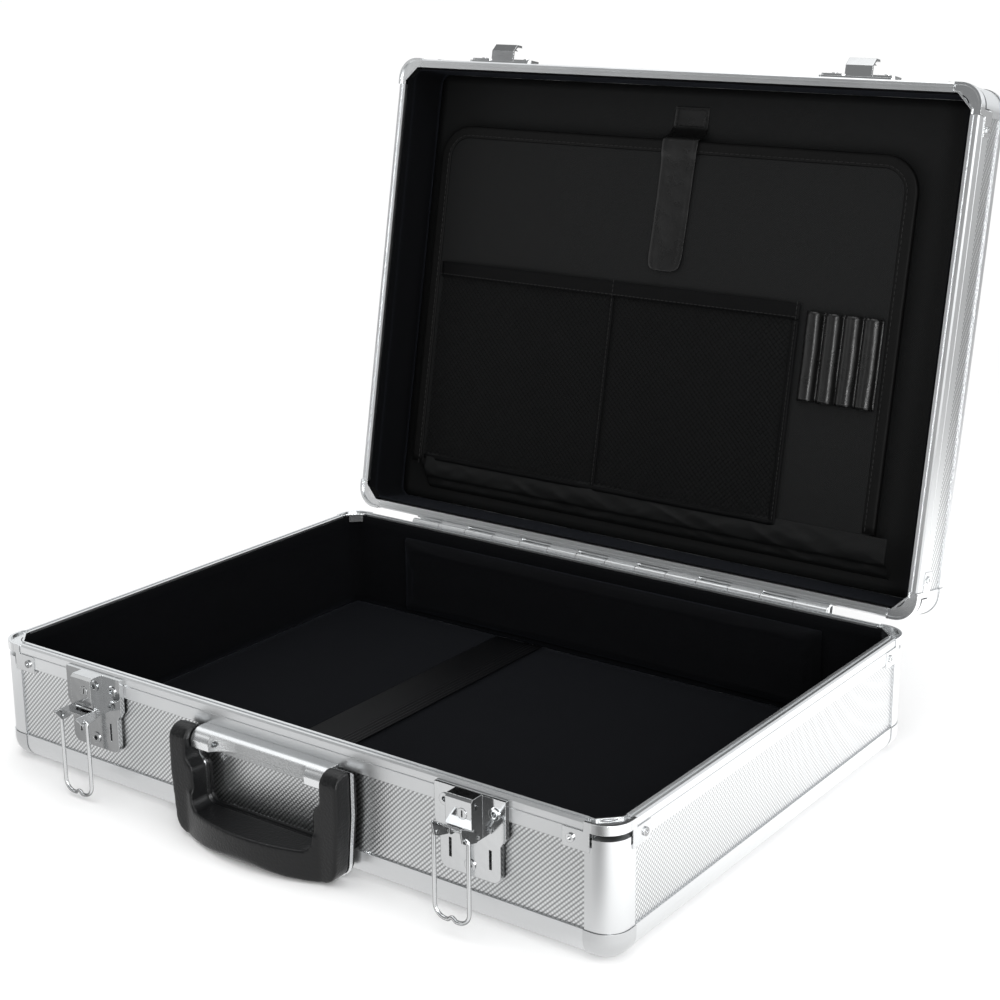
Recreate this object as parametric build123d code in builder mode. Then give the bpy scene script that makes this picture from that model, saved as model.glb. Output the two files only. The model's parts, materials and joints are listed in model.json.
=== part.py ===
"""Aluminium attache case: a base and a hinged lid, drawn with the lid open on its stop.

Frame: millimetres, +Z up. The origin is on the ground under the middle of the closed case,
+X runs along the front from the left latch to the right one, and +Y runs to the hinge at the back.
"""
import os
from dataclasses import dataclass
from math import cos, radians, sin

from build123d import *

# ---------------------------------------------------------------- driving dimensions
WIDTH = 457.0            # outside, left to right
DEPTH = 336.0            # outside, front to back
BASE_HEIGHT = 76.5       # ground to the parting plane
LID_HEIGHT = 50.0        # parting plane to the top of the closed lid
PARTING = 0.3            # gap between the rims of the closed case
LID_OPEN = 100.8         # opening angle at the hinge stop, degrees
CORNER_R = 14.0          # plan radius of the vertical corners
EDGE_R = 12.0            # radius of the bottom and top edges
SKIN = 1.2               # how far the trim stands proud of the panels, and its thickness
WALL = 5.2               # outside of the trim to the inner face of a panel
LINING = 0.8             # lining cloth
INNER = WALL + LINING    # outside of the trim to the room inside
FIT = 0.2                # gap between pieces that are assembled side by side
POST_WING = 18.5         # corner post, from the corner along each wall
BALL = 19.0              # ball corner, from the corner along each edge
BRACKET = 19.0           # rim bracket channel, from the corner along each wall
TAB = 31.5               # rim bracket tab, from the corner along each wall
PROUD = 0.6              # stamped corner metal over the trim

HINGE_Y = DEPTH / 2 + 4.1
HINGE_Z = BASE_HEIGHT - 1.2
HINGE_LENGTH = 343.0
KNUCKLE = 24.5           # length of one hinge knuckle
HINGE_PIN_R = 1.3
HINGE_BARREL_R = 2.7

LATCH_X = 141.0          # middle of each latch, left and right
LATCH_REST = {"left": 0.0, "right": 28.0}    # how far each open lever stands above level, degrees
LEVER_OUT = 8.0          # lever pivot, out from the front face
LEVER_Z = 53.5
BAIL_ALONG = 11.0        # bail pivot from the lever pivot, along the lever and across it
BAIL_ACROSS = -2.5
BAIL_LENGTH = 47.8       # bail pivot to the middle of its end bar
WIRE_R = 1.2
HOOK_Z = LEVER_Z - BAIL_ALONG + BAIL_LENGTH - WIRE_R    # height where the closed bail bears

PLATE_RISE = 3.0         # face of the latch plate, out from the front face
RIVET_SPOTS = [(-16.0, 66.5), (16.0, 66.5), (0.0, 33.5)]
CHEEK_OUT = 9.7          # outer face of a lever's cheeks from the latch's middle

HANDLE_OUT = 9.5         # handle pivot, out from the front face
HANDLE_Z = 58.3
HANDLE_HALF = 63.0       # half the outside width of the handle
BRACKET_SCREWS = [(-26.0, 56.0), (26.0, 56.0)]    # driven from inside, through the front board

FRONT = -DEPTH / 2
LEFT_RIGHT = {"left": -1, "right": 1}


@dataclass
class Tub:
    """One half of the shell, drawn open side up with its closed side on z = 0."""
    name: str
    depth: float         # closed side to the rim
    lip: float           # rim to the groove in the valance
    valance: float       # rim to the lower edge of the valance
    edge: float          # height of the edge trim
    band: float          # rim to the lower edge of the bracket's curved band
    post_top: float      # rim to the top of the corner posts
    tab_top: float       # rim to the top of the bracket's tabs
    tab_bottom: float    # rim to the bottom of the bracket's tabs

    @property
    def valance_z(self):
        return self.depth - self.valance


BASE = Tub("base", BASE_HEIGHT, 4.8, 13.2, 17.0, 5.4, 8.8, 5.4, 16.0)
LID = Tub("lid", LID_HEIGHT - PARTING, 8.0, 17.5, 14.5, 6.4, 9.8, 8.8, 19.0)

HINGE_AXIS = Axis((0, HINGE_Y, HINGE_Z), (1, 0, 0))
CORNER_SIGNS = [(1, 1), (-1, 1), (-1, -1), (1, -1)]


# ---------------------------------------------------------------- placing and saving
def save(shape, node):
    """Label a finished piece and write its STEP file."""
    shape.label = node
    export_step(shape, f"parts/{node}.step")


def closed_lid(shape):
    """Turn a piece drawn in the lid's own tub frame over onto the base."""
    return shape.mirror(Plane.XY).translate((0, 0, BASE_HEIGHT + LID_HEIGHT))


def open_lid(shape):
    """Swing a piece of the closed lid back to the hinge stop."""
    return shape.rotate(HINGE_AXIS, -LID_OPEN)


def save_tub_piece(shape, tub, piece):
    """Save a shell piece: the base's stand as drawn, the lid's are turned over and opened."""
    if tub is LID:
        shape = open_lid(closed_lid(shape))
    save(shape, f"{tub.name}_{piece}")


def save_lid_piece(shape, node):
    save(open_lid(shape), node)


# ---------------------------------------------------------------- plan sketches
def rounded_plan(inset):
    """The case's outline seen from above, drawn in by inset."""
    with BuildSketch() as plan:
        RectangleRounded(WIDTH - 2 * inset, DEPTH - 2 * inset, max(CORNER_R - inset, 0.5))
    return plan.sketch


def ring_plan(outer, inner):
    """The wall between two insets of the case's outline."""
    return rounded_plan(outer) - rounded_plan(inner)


def corner_squares(size):
    """A square over each corner of the case, reaching size along both walls."""
    with BuildSketch() as squares:
        for sx, sy in CORNER_SIGNS:
            with Locations((sx * WIDTH / 2, sy * DEPTH / 2)):
                Rectangle(2 * size, 2 * size)
    return squares.sketch


def front_back_plane(sign, run):
    """Section plane at the start of a run along X: local x inwards from the outside, local y up."""
    return Plane(origin=(sign * run / 2, sign * DEPTH / 2, 0), x_dir=(0, -sign, 0), z_dir=(-sign, 0, 0))


def left_right_plane(sign, run):
    """Section plane at the start of a run along Y: local x inwards from the outside, local y up."""
    return Plane(origin=(sign * WIDTH / 2, -sign * run / 2, 0), x_dir=(-sign, 0, 0), z_dir=(0, sign, 0))


WALL_PLANES = (front_back_plane, left_right_plane)


# ---------------------------------------------------------------- shell pieces, base and lid alike
def wall_panels(tub):
    """Front, back, left and right boards, and the closed side's board."""
    low = EDGE_R + FIT
    high = tub.depth - 2.6
    middle = (low + high) / 2
    reach_x = WIDTH - 2 * (CORNER_R + FIT)
    reach_y = DEPTH - 2 * (CORNER_R + FIT)
    centre = (SKIN + WALL) / 2
    thick = WALL - SKIN
    walls = {
        "front_panel": ((0, -DEPTH / 2 + centre), (reach_x, thick)),
        "back_panel": ((0, DEPTH / 2 - centre), (reach_x, thick)),
        "left_panel": ((-WIDTH / 2 + centre, 0), (thick, reach_y)),
        "right_panel": ((WIDTH / 2 - centre, 0), (thick, reach_y)),
    }
    for piece, ((x, y), (size_x, size_y)) in walls.items():
        with BuildPart() as panel:
            with Locations((x, y, middle)):
                Box(size_x, size_y, high - low)
            if tub is BASE and piece == "front_panel":
                with BuildSketch(out_plane(0, 0, 0)):
                    with Locations(*BRACKET_SCREWS):
                        Circle(1.9)
                extrude(amount=-2 * WALL, mode=Mode.SUBTRACT)
        save_tub_piece(panel.part, tub, piece)

    with BuildPart() as flat:
        with BuildSketch(Plane.XY.offset(SKIN)):
            add(rounded_plan(EDGE_R + FIT))
        extrude(amount=thick)
        if tub is BASE:
            with BuildSketch() as underside:
                Rectangle(WIDTH - 2 * (tub.edge + FIT), DEPTH - 2 * (tub.edge + FIT))
                add(corner_squares(BALL + FIT), mode=Mode.SUBTRACT)
            extrude(amount=SKIN)
    save_tub_piece(flat.part, tub, "floor_panel" if tub is BASE else "top_panel")


def rims(tub):
    """Four rim extrusions: a channel over the panel's edge with a deep outer valance."""
    top = tub.depth

    def section(plane):
        with BuildSketch(plane) as profile:
            with BuildLine():
                Polyline(
                    (0, top - tub.valance), (0, top - tub.lip - 0.8), (0.5, top - tub.lip - 0.4),
                    (0, top - tub.lip), (0, top - 1.0), (1.0, top), (2.6, top), (2.6, top - 0.9),
                    (4.2, top - 0.9), (4.2, top), (INNER, top), (INNER, top - 8.5), (WALL, top - 8.5),
                    (WALL, top - 1.6), (SKIN, top - 1.6), (SKIN, top - tub.valance),
                    close=True,
                )
            make_face()
        return profile.sketch

    with BuildPart() as rim:
        for sign in (1, -1):
            for run, run_plane in zip((WIDTH - 2 * BRACKET, DEPTH - 2 * BRACKET), WALL_PLANES):
                extrude(section(run_plane(sign, run)), amount=run)
    save_tub_piece(rim.part, tub, "rim")


def corner_posts(tub):
    """Rounded upright extrusions that join the panels at the corners."""
    low = tub.edge + FIT
    high = tub.depth - tub.post_top
    with BuildPart() as posts:
        with BuildSketch(Plane.XY.offset(low)):
            add(ring_plan(0, SKIN) & corner_squares(POST_WING))
            add(ring_plan(0, WALL) & corner_squares(CORNER_R))
        extrude(amount=tub.valance_z - FIT - low)
        with BuildSketch(Plane.XY.offset(low)):
            add(ring_plan(0, WALL) & corner_squares(CORNER_R))
        extrude(amount=high - low)
    save_tub_piece(posts.part, tub, "corner_posts")


def edge_trims(tub):
    """Quarter-round extrusions along the four long edges of the closed side."""
    with BuildPart() as trims:
        for sign in (1, -1):
            for length, run_plane in zip((WIDTH, DEPTH), WALL_PLANES):
                run = length - 2 * (BALL + FIT)
                with BuildSketch(run_plane(sign, run)) as profile:
                    with BuildLine():
                        Line((0, tub.edge), (0, EDGE_R))
                        RadiusArc((0, EDGE_R), (EDGE_R, 0), -EDGE_R)
                        Polyline((EDGE_R, 0), (tub.edge, 0), (tub.edge, SKIN), (EDGE_R, SKIN),
                                 (EDGE_R, WALL), (WALL, WALL), (WALL, EDGE_R), (SKIN, EDGE_R),
                                 (SKIN, tub.edge), (0, tub.edge))
                    make_face()
                extrude(profile.sketch, amount=run)
    save_tub_piece(trims.part, tub, "edge_trims")


def ball_corners(tub):
    """Pressed corner caps where two edge trims and a post meet."""
    with BuildPart() as caps:
        with BuildSketch():
            RectangleRounded(WIDTH + 2 * PROUD, DEPTH + 2 * PROUD, CORNER_R + PROUD)
        extrude(amount=tub.edge)
        fillet(caps.faces().sort_by(Axis.Z)[0].edges(), EDGE_R)
        with BuildSketch():
            add(corner_squares(BALL))
        extrude(amount=tub.edge, mode=Mode.INTERSECT)
        with BuildSketch(Plane.XY.offset(SKIN)):
            Rectangle(WIDTH - 2 * EDGE_R, DEPTH - 2 * EDGE_R)
        extrude(amount=tub.edge, mode=Mode.SUBTRACT)
        with BuildSketch(Plane.XY.offset(WALL)):
            add(rounded_plan(WALL))
        extrude(amount=tub.edge, mode=Mode.SUBTRACT)
        with BuildSketch(Plane.XY.offset(EDGE_R)):
            Rectangle(WIDTH - 2 * CORNER_R, DEPTH - 2 * SKIN)
            Rectangle(WIDTH - 2 * SKIN, DEPTH - 2 * CORNER_R)
        extrude(amount=tub.edge, mode=Mode.SUBTRACT)
    save_tub_piece(caps.part, tub, "ball_corners")


def rim_brackets(tub):
    """Stamped corner brackets: a channel round the rim's corner, a curved band and two riveted tabs."""
    top = tub.depth
    corner_cut = 10.0
    with BuildSketch() as opening:
        Rectangle(WIDTH - 2 * INNER, DEPTH - 2 * INNER)
        chamfer(opening.vertices(), corner_cut)
    with BuildSketch() as opening_lip:
        Rectangle(WIDTH - 2 * (INNER - LINING), DEPTH - 2 * (INNER - LINING))
        chamfer(opening_lip.vertices(), corner_cut)
    with BuildSketch() as outline:
        RectangleRounded(WIDTH + 2 * PROUD, DEPTH + 2 * PROUD, CORNER_R + PROUD)

    channel = corner_squares(BRACKET - FIT)
    with BuildPart() as brackets:
        with BuildSketch(Plane.XY.offset(top - 2.4)):
            add((outline.sketch - opening.sketch) & channel)
        extrude(amount=1.2)
        with BuildSketch(Plane.XY.offset(top - 6.0)):
            add((opening_lip.sketch - opening.sketch) & channel)
        extrude(amount=6.0)
        with BuildSketch(Plane.XY.offset(top - tub.band)):
            add((outline.sketch - rounded_plan(SKIN)) & channel)
        extrude(amount=tub.band)
        with BuildSketch(Plane.XY.offset(top - tub.tab_bottom)):
            add((outline.sketch - rounded_plan(0)) & (corner_squares(TAB) - corner_squares(CORNER_R + 1.2)))
        extrude(amount=tub.tab_bottom - tub.tab_top)
        if tub.tab_top > tub.band:
            with BuildSketch(Plane.XY.offset(top - tub.tab_top)):
                add((outline.sketch - rounded_plan(0)) & (channel - corner_squares(CORNER_R + 1.2)))
            extrude(amount=tub.tab_top - tub.band)
    save_tub_piece(brackets.part, tub, "rim_brackets")

    rivet_z = top - (tub.tab_top + tub.tab_bottom) / 2
    with BuildPart() as rivets:
        for sx, sy in CORNER_SIGNS:
            spots = (
                Plane(origin=(sx * (WIDTH / 2 - 26.5), sy * (DEPTH / 2 + PROUD), rivet_z), z_dir=(0, sy, 0)),
                Plane(origin=(sx * (WIDTH / 2 + PROUD), sy * (DEPTH / 2 - 26.5), rivet_z), z_dir=(sx, 0, 0)),
            )
            for spot in spots:
                with BuildSketch(spot):
                    Circle(2.4)
                    Circle(1.0, mode=Mode.SUBTRACT)
                extrude(amount=0.9)
    save_tub_piece(rivets.part, tub, "bracket_rivets")


def wall_lining(tub):
    """Felt lining glued round the inside of the four walls."""
    with BuildPart() as lining:
        with BuildSketch(Plane.XY.offset(WALL + FIT)):
            add(ring_plan(WALL + 0.05, INNER))
        extrude(amount=tub.depth - 8.7 - WALL - FIT)
    save_tub_piece(lining.part, tub, "wall_lining")


def shell(tub):
    wall_panels(tub)
    rims(tub)
    corner_posts(tub)
    edge_trims(tub)
    ball_corners(tub)
    rim_brackets(tub)
    wall_lining(tub)


# ---------------------------------------------------------------- padding in the base
FLOOR_TOP = 8.0
BACK_PAD_Y = 154.0       # inner face of the padded panel on the back wall


def base_padding():
    """Floor pad, padded panel on the back wall, and the elastic strap across the floor."""
    with BuildPart() as floor_pad:
        with BuildSketch(Plane.XY.offset(WALL + 0.05)):
            add(rounded_plan(INNER + FIT))
        extrude(amount=FLOOR_TOP - WALL - 0.05)
    save(floor_pad.part, "floor_pad")

    with BuildPart() as back_pad:
        face = DEPTH / 2 - INNER - FIT
        with Locations((0, (BACK_PAD_Y + face) / 2, 38.0)):
            Box(344.0, face - BACK_PAD_Y, 58.0)
        fillet(back_pad.faces().sort_by(Axis.Y)[0].edges(), 3.0)
    save(back_pad.part, "back_pad")

    with BuildPart() as strap:
        length = BACK_PAD_Y - FIT - (-DEPTH / 2 + INNER + FIT)
        with Locations((-63.5, BACK_PAD_Y - FIT - length / 2, FLOOR_TOP + FIT + 0.8)):
            Box(40.0, length, 1.6)
    save(strap.part, "floor_strap")


# ---------------------------------------------------------------- organiser in the lid
ORGANISER_X = (-208.0, 180.0)
ORGANISER_Y = (-124.0, 140.0)
ORGANISER_Z = 110.5      # face towards the room, in the closed case
BOARD = 3.0
LID_INSIDE = BASE_HEIGHT + LID_HEIGHT - WALL


def organiser_slab(x, y, z_face, thick):
    """A box in the closed lid, from two X limits and two Y limits, thick towards the lid's top."""
    with Locations(((x[0] + x[1]) / 2, (y[0] + y[1]) / 2, z_face + thick / 2)):
        Box(x[1] - x[0], y[1] - y[0], thick)


def organiser():
    """Board with its binding, gusset, pockets, loops and closing strap, all sewn together."""
    with BuildPart() as lining:
        with BuildSketch(Plane.XY.offset(LID_INSIDE - LINING)):
            add(rounded_plan(INNER + FIT))
        extrude(amount=LINING - 0.05)
    save_lid_piece(lining.part, "lid_top_lining")

    middle_x = sum(ORGANISER_X) / 2
    middle_y = sum(ORGANISER_Y) / 2
    size_x = ORGANISER_X[1] - ORGANISER_X[0]
    size_y = ORGANISER_Y[1] - ORGANISER_Y[0]
    tape = 9.0
    with BuildPart() as board:
        with BuildSketch(Plane.XY.offset(ORGANISER_Z)):
            with Locations((middle_x, middle_y)):
                RectangleRounded(size_x - 2.4, size_y - 2.4, 24.0)
        extrude(amount=BOARD)
    save_lid_piece(board.part, "organiser_board")

    with BuildPart() as binding:
        with BuildSketch(Plane.XY.offset(ORGANISER_Z - 0.8)):
            with Locations((middle_x, middle_y)):
                RectangleRounded(size_x, size_y, 25.0)
                RectangleRounded(size_x - 2 * tape, size_y - 2 * tape, 17.0, mode=Mode.SUBTRACT)
        extrude(amount=BOARD + 1.6)
        with BuildSketch(Plane.XY.offset(ORGANISER_Z)):
            with Locations((middle_x, middle_y)):
                RectangleRounded(size_x - 2.4, size_y - 2.4, 24.0)
        extrude(amount=BOARD, mode=Mode.SUBTRACT)
    save_lid_piece(binding.part, "organiser_binding")

    with BuildPart() as gusset:
        organiser_slab((-190.0, 190.0), (ORGANISER_Y[1] + 0.3, 152.0), ORGANISER_Z + 1.0, 8.0)
    save_lid_piece(gusset.part, "organiser_gusset")

    with BuildPart() as pocket:
        organiser_slab((-196.0, 107.0), (-22.0, 129.0), ORGANISER_Z - 3.3, 2.4)
    save_lid_piece(pocket.part, "mesh_pocket")

    loop_pitch = 14.5
    with BuildPart() as loops:
        for index in range(4):
            with Locations((118.5 + index * loop_pitch, 12.5, ORGANISER_Z - 0.2 - 3.5)):
                Box(13.0, 60.0, 7.0)
        fillet(loops.edges().filter_by(Axis.Y).group_by(Axis.Z)[0], 3.0)
    save_lid_piece(loops.part, "pen_loops")

    with BuildPart() as strap:
        organiser_slab((-13.0, 14.0), (-122.0, -33.0), ORGANISER_Z - 2.6, 1.6)
        organiser_slab((-13.0, 14.0), (-127.0, -124.8), ORGANISER_Z - 2.6, 10.0)
        organiser_slab((-13.0, 14.0), (-127.0, -121.5), ORGANISER_Z - 2.6, 1.6)
        organiser_slab((-13.0, 14.0), (-148.0, -124.8), ORGANISER_Z + 6.4, 2.0)
    save_lid_piece(strap.part, "organiser_strap")


# ---------------------------------------------------------------- hinge
def hinge():
    """Continuous hinge: two leaves with alternate knuckles, stop flanges, a pin and rivets."""
    count = round(HINGE_LENGTH / KNUCKLE)
    start = -HINGE_LENGTH / 2 - 1.0
    leaf = 1.2
    back = DEPTH / 2
    leaf_low, leaf_high = 15.0, 3.2      # leaf edge and knuckle relief, from the parting plane
    stop_out, stop_drop = 5.2, 6.6       # tip of a stop flange from the hinge axis

    def knuckles(first):
        for index in range(first, count, 2):
            x = start + index * KNUCKLE
            with BuildSketch(Plane(origin=(x + FIT, HINGE_Y, HINGE_Z), z_dir=(1, 0, 0))) as tube:
                Circle(HINGE_BARREL_R)
                Circle(HINGE_PIN_R + 0.05, mode=Mode.SUBTRACT)
            extrude(tube.sketch, amount=KNUCKLE - 2 * FIT)

    def leaf_section(side):
        """Leaf and stop flange on one side of the axis: -1 is the base's, +1 is the lid's."""
        z_near = HINGE_Z + side * leaf_high
        z_far = HINGE_Z + side * leaf_low
        flange = HINGE_Z + side * stop_drop
        with BuildSketch(Plane(origin=(start + FIT, 0, 0), z_dir=(1, 0, 0), x_dir=(0, 1, 0))) as profile:
            with BuildLine():
                Polyline((back, z_near), (back, z_far), (back + leaf, z_far),
                         (back + leaf, flange + side * leaf), (HINGE_Y + stop_out, flange + side * leaf),
                         (HINGE_Y + stop_out, flange), (back + leaf, flange),
                         (back + leaf, z_near), close=True)
            make_face()
        return profile.sketch

    def knuckle_webs(side, first):
        """The strip that joins each knuckle to its leaf."""
        for index in range(first, count, 2):
            x = start + index * KNUCKLE + FIT
            with BuildSketch(Plane(origin=(x, 0, 0), z_dir=(1, 0, 0), x_dir=(0, 1, 0))) as web:
                with BuildLine():
                    Polyline((back, HINGE_Z + side * 3.4), (back + leaf, HINGE_Z + side * 3.4),
                             (HINGE_Y - 1.0, HINGE_Z + side * 2.3), (HINGE_Y - 2.3, HINGE_Z + side * 1.0),
                             (back, HINGE_Z + side * 1.3), close=True)
                make_face()
            extrude(web.sketch, amount=KNUCKLE - 2 * FIT)

    leaves = {"hinge_base_leaf": (-1, 0), "hinge_lid_leaf": (1, 1)}
    for node, (side, first) in leaves.items():
        with BuildPart() as half:
            extrude(leaf_section(side), amount=HINGE_LENGTH - 2 * FIT)
            knuckles(first)
            knuckle_webs(side, first)
            with BuildSketch(Plane(origin=(start, HINGE_Y, HINGE_Z), z_dir=(1, 0, 0))):
                Circle(HINGE_PIN_R + 0.05)
            extrude(amount=HINGE_LENGTH, mode=Mode.SUBTRACT)
        save(half.part if side < 0 else open_lid(half.part), node)

    with BuildPart() as pin:
        with BuildSketch(Plane(origin=(start, HINGE_Y, HINGE_Z), z_dir=(1, 0, 0))):
            Circle(HINGE_PIN_R)
        extrude(amount=HINGE_LENGTH)
    save(pin.part, "hinge_pin")

    rivet_pitch = 2 * KNUCKLE
    for node, side in (("hinge_base_rivets", -1), ("hinge_lid_rivets", 1)):
        with BuildPart() as rivets:
            for index in range(7):
                x = start + KNUCKLE + index * rivet_pitch
                z = HINGE_Z + side * 11.6
                with BuildSketch(Plane(origin=(x, back + leaf, z), z_dir=(0, 1, 0))):
                    Circle(2.4)
                extrude(amount=1.0)
            fillet(rivets.faces().sort_by(Axis.Y)[-7:].edges(), 0.5)
        save(rivets.part if side < 0 else open_lid(rivets.part), node)


# ---------------------------------------------------------------- latches
def out_plane(x, out, z):
    """A plane facing out of the front, its origin out from the front face."""
    return Plane(origin=(x, FRONT - out, z), x_dir=(1, 0, 0), z_dir=(0, -1, 0))


def side_plane(x):
    """A plane across the case at x, local x out of the front and local y up, from the front face."""
    return Plane(origin=(x, FRONT, 0), x_dir=(0, -1, 0), z_dir=(-1, 0, 0))


def plate_outline(grow):
    """Latch plate outline about the latch's middle line, drawn in by -grow."""
    with BuildLine() as edge:
        Polyline((-23.0 - grow, 75.0 + grow), (23.0 + grow, 75.0 + grow), (23.0 + grow, 54.0),
                 (19.5 + grow, 49.0), (19.5 + grow, 32.5))
        RadiusArc((19.5 + grow, 32.5), (14.5, 27.5 - grow), 5.0 + grow)
        Line((14.5, 27.5 - grow), (-14.5, 27.5 - grow))
        RadiusArc((-14.5, 27.5 - grow), (-19.5 - grow, 32.5), 5.0 + grow)
        Polyline((-19.5 - grow, 32.5), (-19.5 - grow, 49.0), (-23.0 - grow, 54.0),
                 (-23.0 - grow, 75.0 + grow))
    return edge.line


def latch_fixed(side, sign):
    """Plate, hood and rivets of one latch."""
    x = sign * LATCH_X
    rise = PLATE_RISE
    sheet = 1.0
    with BuildPart() as plate:
        with BuildSketch(out_plane(x, 0, 0)):
            with BuildLine():
                add(plate_outline(0))
            make_face()
        extrude(amount=rise)
        with BuildSketch(out_plane(x, 0, 0)):
            with BuildLine():
                add(plate_outline(-sheet))
            make_face()
        extrude(amount=rise - sheet, mode=Mode.SUBTRACT)
        with BuildSketch(out_plane(x, 0, 0)):
            with Locations((-13.0, 40.0), (13.0, 40.0)):
                Rectangle(1.8, 11.0)
            with Locations(*RIVET_SPOTS):
                Circle(1.9)
        extrude(amount=rise + 1, mode=Mode.SUBTRACT)
    save(plate.part, f"{side}_latch_plate")

    half = 8.4
    nose = 12.5
    top, skirt = 75.6, 59.0
    with BuildPart() as hood:
        with BuildSketch(side_plane(x + half)):
            with BuildLine():
                Polyline((rise, top), (rise, LEVER_Z - 2.6), (LEVER_OUT, LEVER_Z - 2.6))
                RadiusArc((LEVER_OUT, LEVER_Z - 2.6), (LEVER_OUT + 2.6, LEVER_Z), -2.6)
                Polyline((LEVER_OUT + 2.6, LEVER_Z), (LEVER_OUT + 2.6, skirt), (nose, skirt),
                         (nose, top - 1.5), (nose - 1.5, top), (rise, top))
            make_face()
        extrude(amount=2 * half)
        with BuildSketch(side_plane(x + half - sheet)):
            with BuildLine():
                Polyline((rise - 1, top - sheet), (rise - 1, LEVER_Z - 4), (nose - sheet, LEVER_Z - 4),
                         (nose - sheet, top - sheet), close=True)
            make_face()
        extrude(amount=2 * (half - sheet), mode=Mode.SUBTRACT)
        with BuildSketch(out_plane(x + 2.5, rise, 67.0)):
            Circle(3.05)
        extrude(amount=nose, mode=Mode.SUBTRACT)
        with BuildSketch(side_plane(x + half)):
            with Locations((LEVER_OUT, LEVER_Z)):
                Circle(1.0)
        extrude(amount=2 * half, mode=Mode.SUBTRACT)
    save(hood.part, f"{side}_latch_hood")

    with BuildPart() as cylinder:
        with BuildSketch(out_plane(x + 2.5, rise + 0.3, 67.0)):
            Circle(3.0)
        extrude(amount=nose - rise)
        with BuildSketch(out_plane(x + 2.5, nose - 2.0, 67.0)):
            Rectangle(0.9, 3.6)
        extrude(amount=4.0, mode=Mode.SUBTRACT)
    save(cylinder.part, f"{side}_lock_cylinder")


def latch_rivets():
    """Hollow rivets that hold both latch plates."""
    with BuildPart() as rivets:
        for sign in LEFT_RIGHT.values():
            with BuildSketch(out_plane(sign * LATCH_X, PLATE_RISE, 0)):
                with Locations(*RIVET_SPOTS):
                    Circle(3.4)
                    Circle(1.5, mode=Mode.SUBTRACT)
            extrude(amount=0.7)
            with BuildSketch(out_plane(sign * LATCH_X, 0, 0)):
                with Locations(*RIVET_SPOTS):
                    Circle(1.9)
                    Circle(1.5, mode=Mode.SUBTRACT)
            extrude(amount=PLATE_RISE)
    save(rivets.part, "latch_rivets")


def lever_pins():
    """Pins through the ears of both hoods that the levers turn on."""
    with BuildPart() as pins:
        for sign in LEFT_RIGHT.values():
            with BuildSketch(side_plane(sign * LATCH_X + CHEEK_OUT)):
                with Locations((LEVER_OUT, LEVER_Z)):
                    Circle(1.0)
            extrude(amount=2 * CHEEK_OUT)
    save(pins.part, "lever_pins")


def turn_lever(shape, side):
    """Raise a piece drawn on a level lever to the angle at which that lever rests."""
    pivot = Axis((0, FRONT - LEVER_OUT, LEVER_Z), (1, 0, 0))
    return shape.rotate(pivot, -LATCH_REST[side])


def bail_pivot(side):
    """Rest position of the bail's pivot, out from the front face and up."""
    angle = radians(LATCH_REST[side])
    out = LEVER_OUT + BAIL_ALONG * cos(angle) - BAIL_ACROSS * sin(angle)
    up = LEVER_Z + BAIL_ALONG * sin(angle) + BAIL_ACROSS * cos(angle)
    return out, up


def latch_moving(side, sign):
    """Lever with its pin, and the wire bail that hangs from it."""
    x = sign * LATCH_X
    cheek_thick = 1.0
    reach = 17.5
    plate_from, plate_to = 5.0, 12.5
    with BuildPart() as lever:
        for face in (CHEEK_OUT, cheek_thick - CHEEK_OUT):
            with BuildSketch(side_plane(x + face)):
                with BuildLine():
                    Polyline((LEVER_OUT + 5.0, LEVER_Z + 2.4), (LEVER_OUT, LEVER_Z + 2.4))
                    RadiusArc((LEVER_OUT, LEVER_Z + 2.4), (LEVER_OUT, LEVER_Z - 2.4), 2.4)
                    Polyline((LEVER_OUT, LEVER_Z - 2.4), (LEVER_OUT + BAIL_ALONG - 1.6, LEVER_Z - 4.6),
                             (LEVER_OUT + BAIL_ALONG + 1.8, LEVER_Z - 4.4),
                             (LEVER_OUT + reach, LEVER_Z + 1.2), (LEVER_OUT + reach, LEVER_Z + 2.4),
                             (LEVER_OUT + 5.0, LEVER_Z + 2.4))
                make_face()
            extrude(amount=cheek_thick)
        with BuildSketch(side_plane(x + CHEEK_OUT)):
            with Locations((LEVER_OUT + (plate_from + plate_to) / 2, LEVER_Z + 1.8)):
                Rectangle(plate_to - plate_from, 1.2)
        extrude(amount=2 * CHEEK_OUT)
        with BuildSketch(side_plane(x + 12)):
            with Locations((LEVER_OUT, LEVER_Z)):
                Circle(1.05)
            with Locations((LEVER_OUT + BAIL_ALONG, LEVER_Z + BAIL_ACROSS)):
                Circle(WIRE_R + 0.05)
        extrude(amount=24, mode=Mode.SUBTRACT)
    save(turn_lever(lever.part, side), f"{side}_latch_lever")

    out, up = bail_pivot(side)
    leg, end = 11.2, 8.2
    notch_half, notch_deep = 2.6, 2.0
    low = up - BAIL_LENGTH
    face = Plane(origin=(x, FRONT - out, 0), x_dir=(1, 0, 0), z_dir=(0, -1, 0))
    with BuildPart() as bail:
        with BuildLine(face) as route:
            FilletPolyline(
                (-end, up), (-leg, up), (-leg, low), (-notch_half, low), (0, low + notch_deep),
                (notch_half, low), (leg, low), (leg, up), (end, up),
                radius=[1.6, 7.0, 1.6, 1.6, 1.6, 7.0, 1.6],
            )
        with BuildSketch(Plane(origin=route.line @ 0, z_dir=route.line % 0)):
            Circle(WIRE_R)
        sweep()
    save(bail.part, f"{side}_latch_bail")


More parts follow.
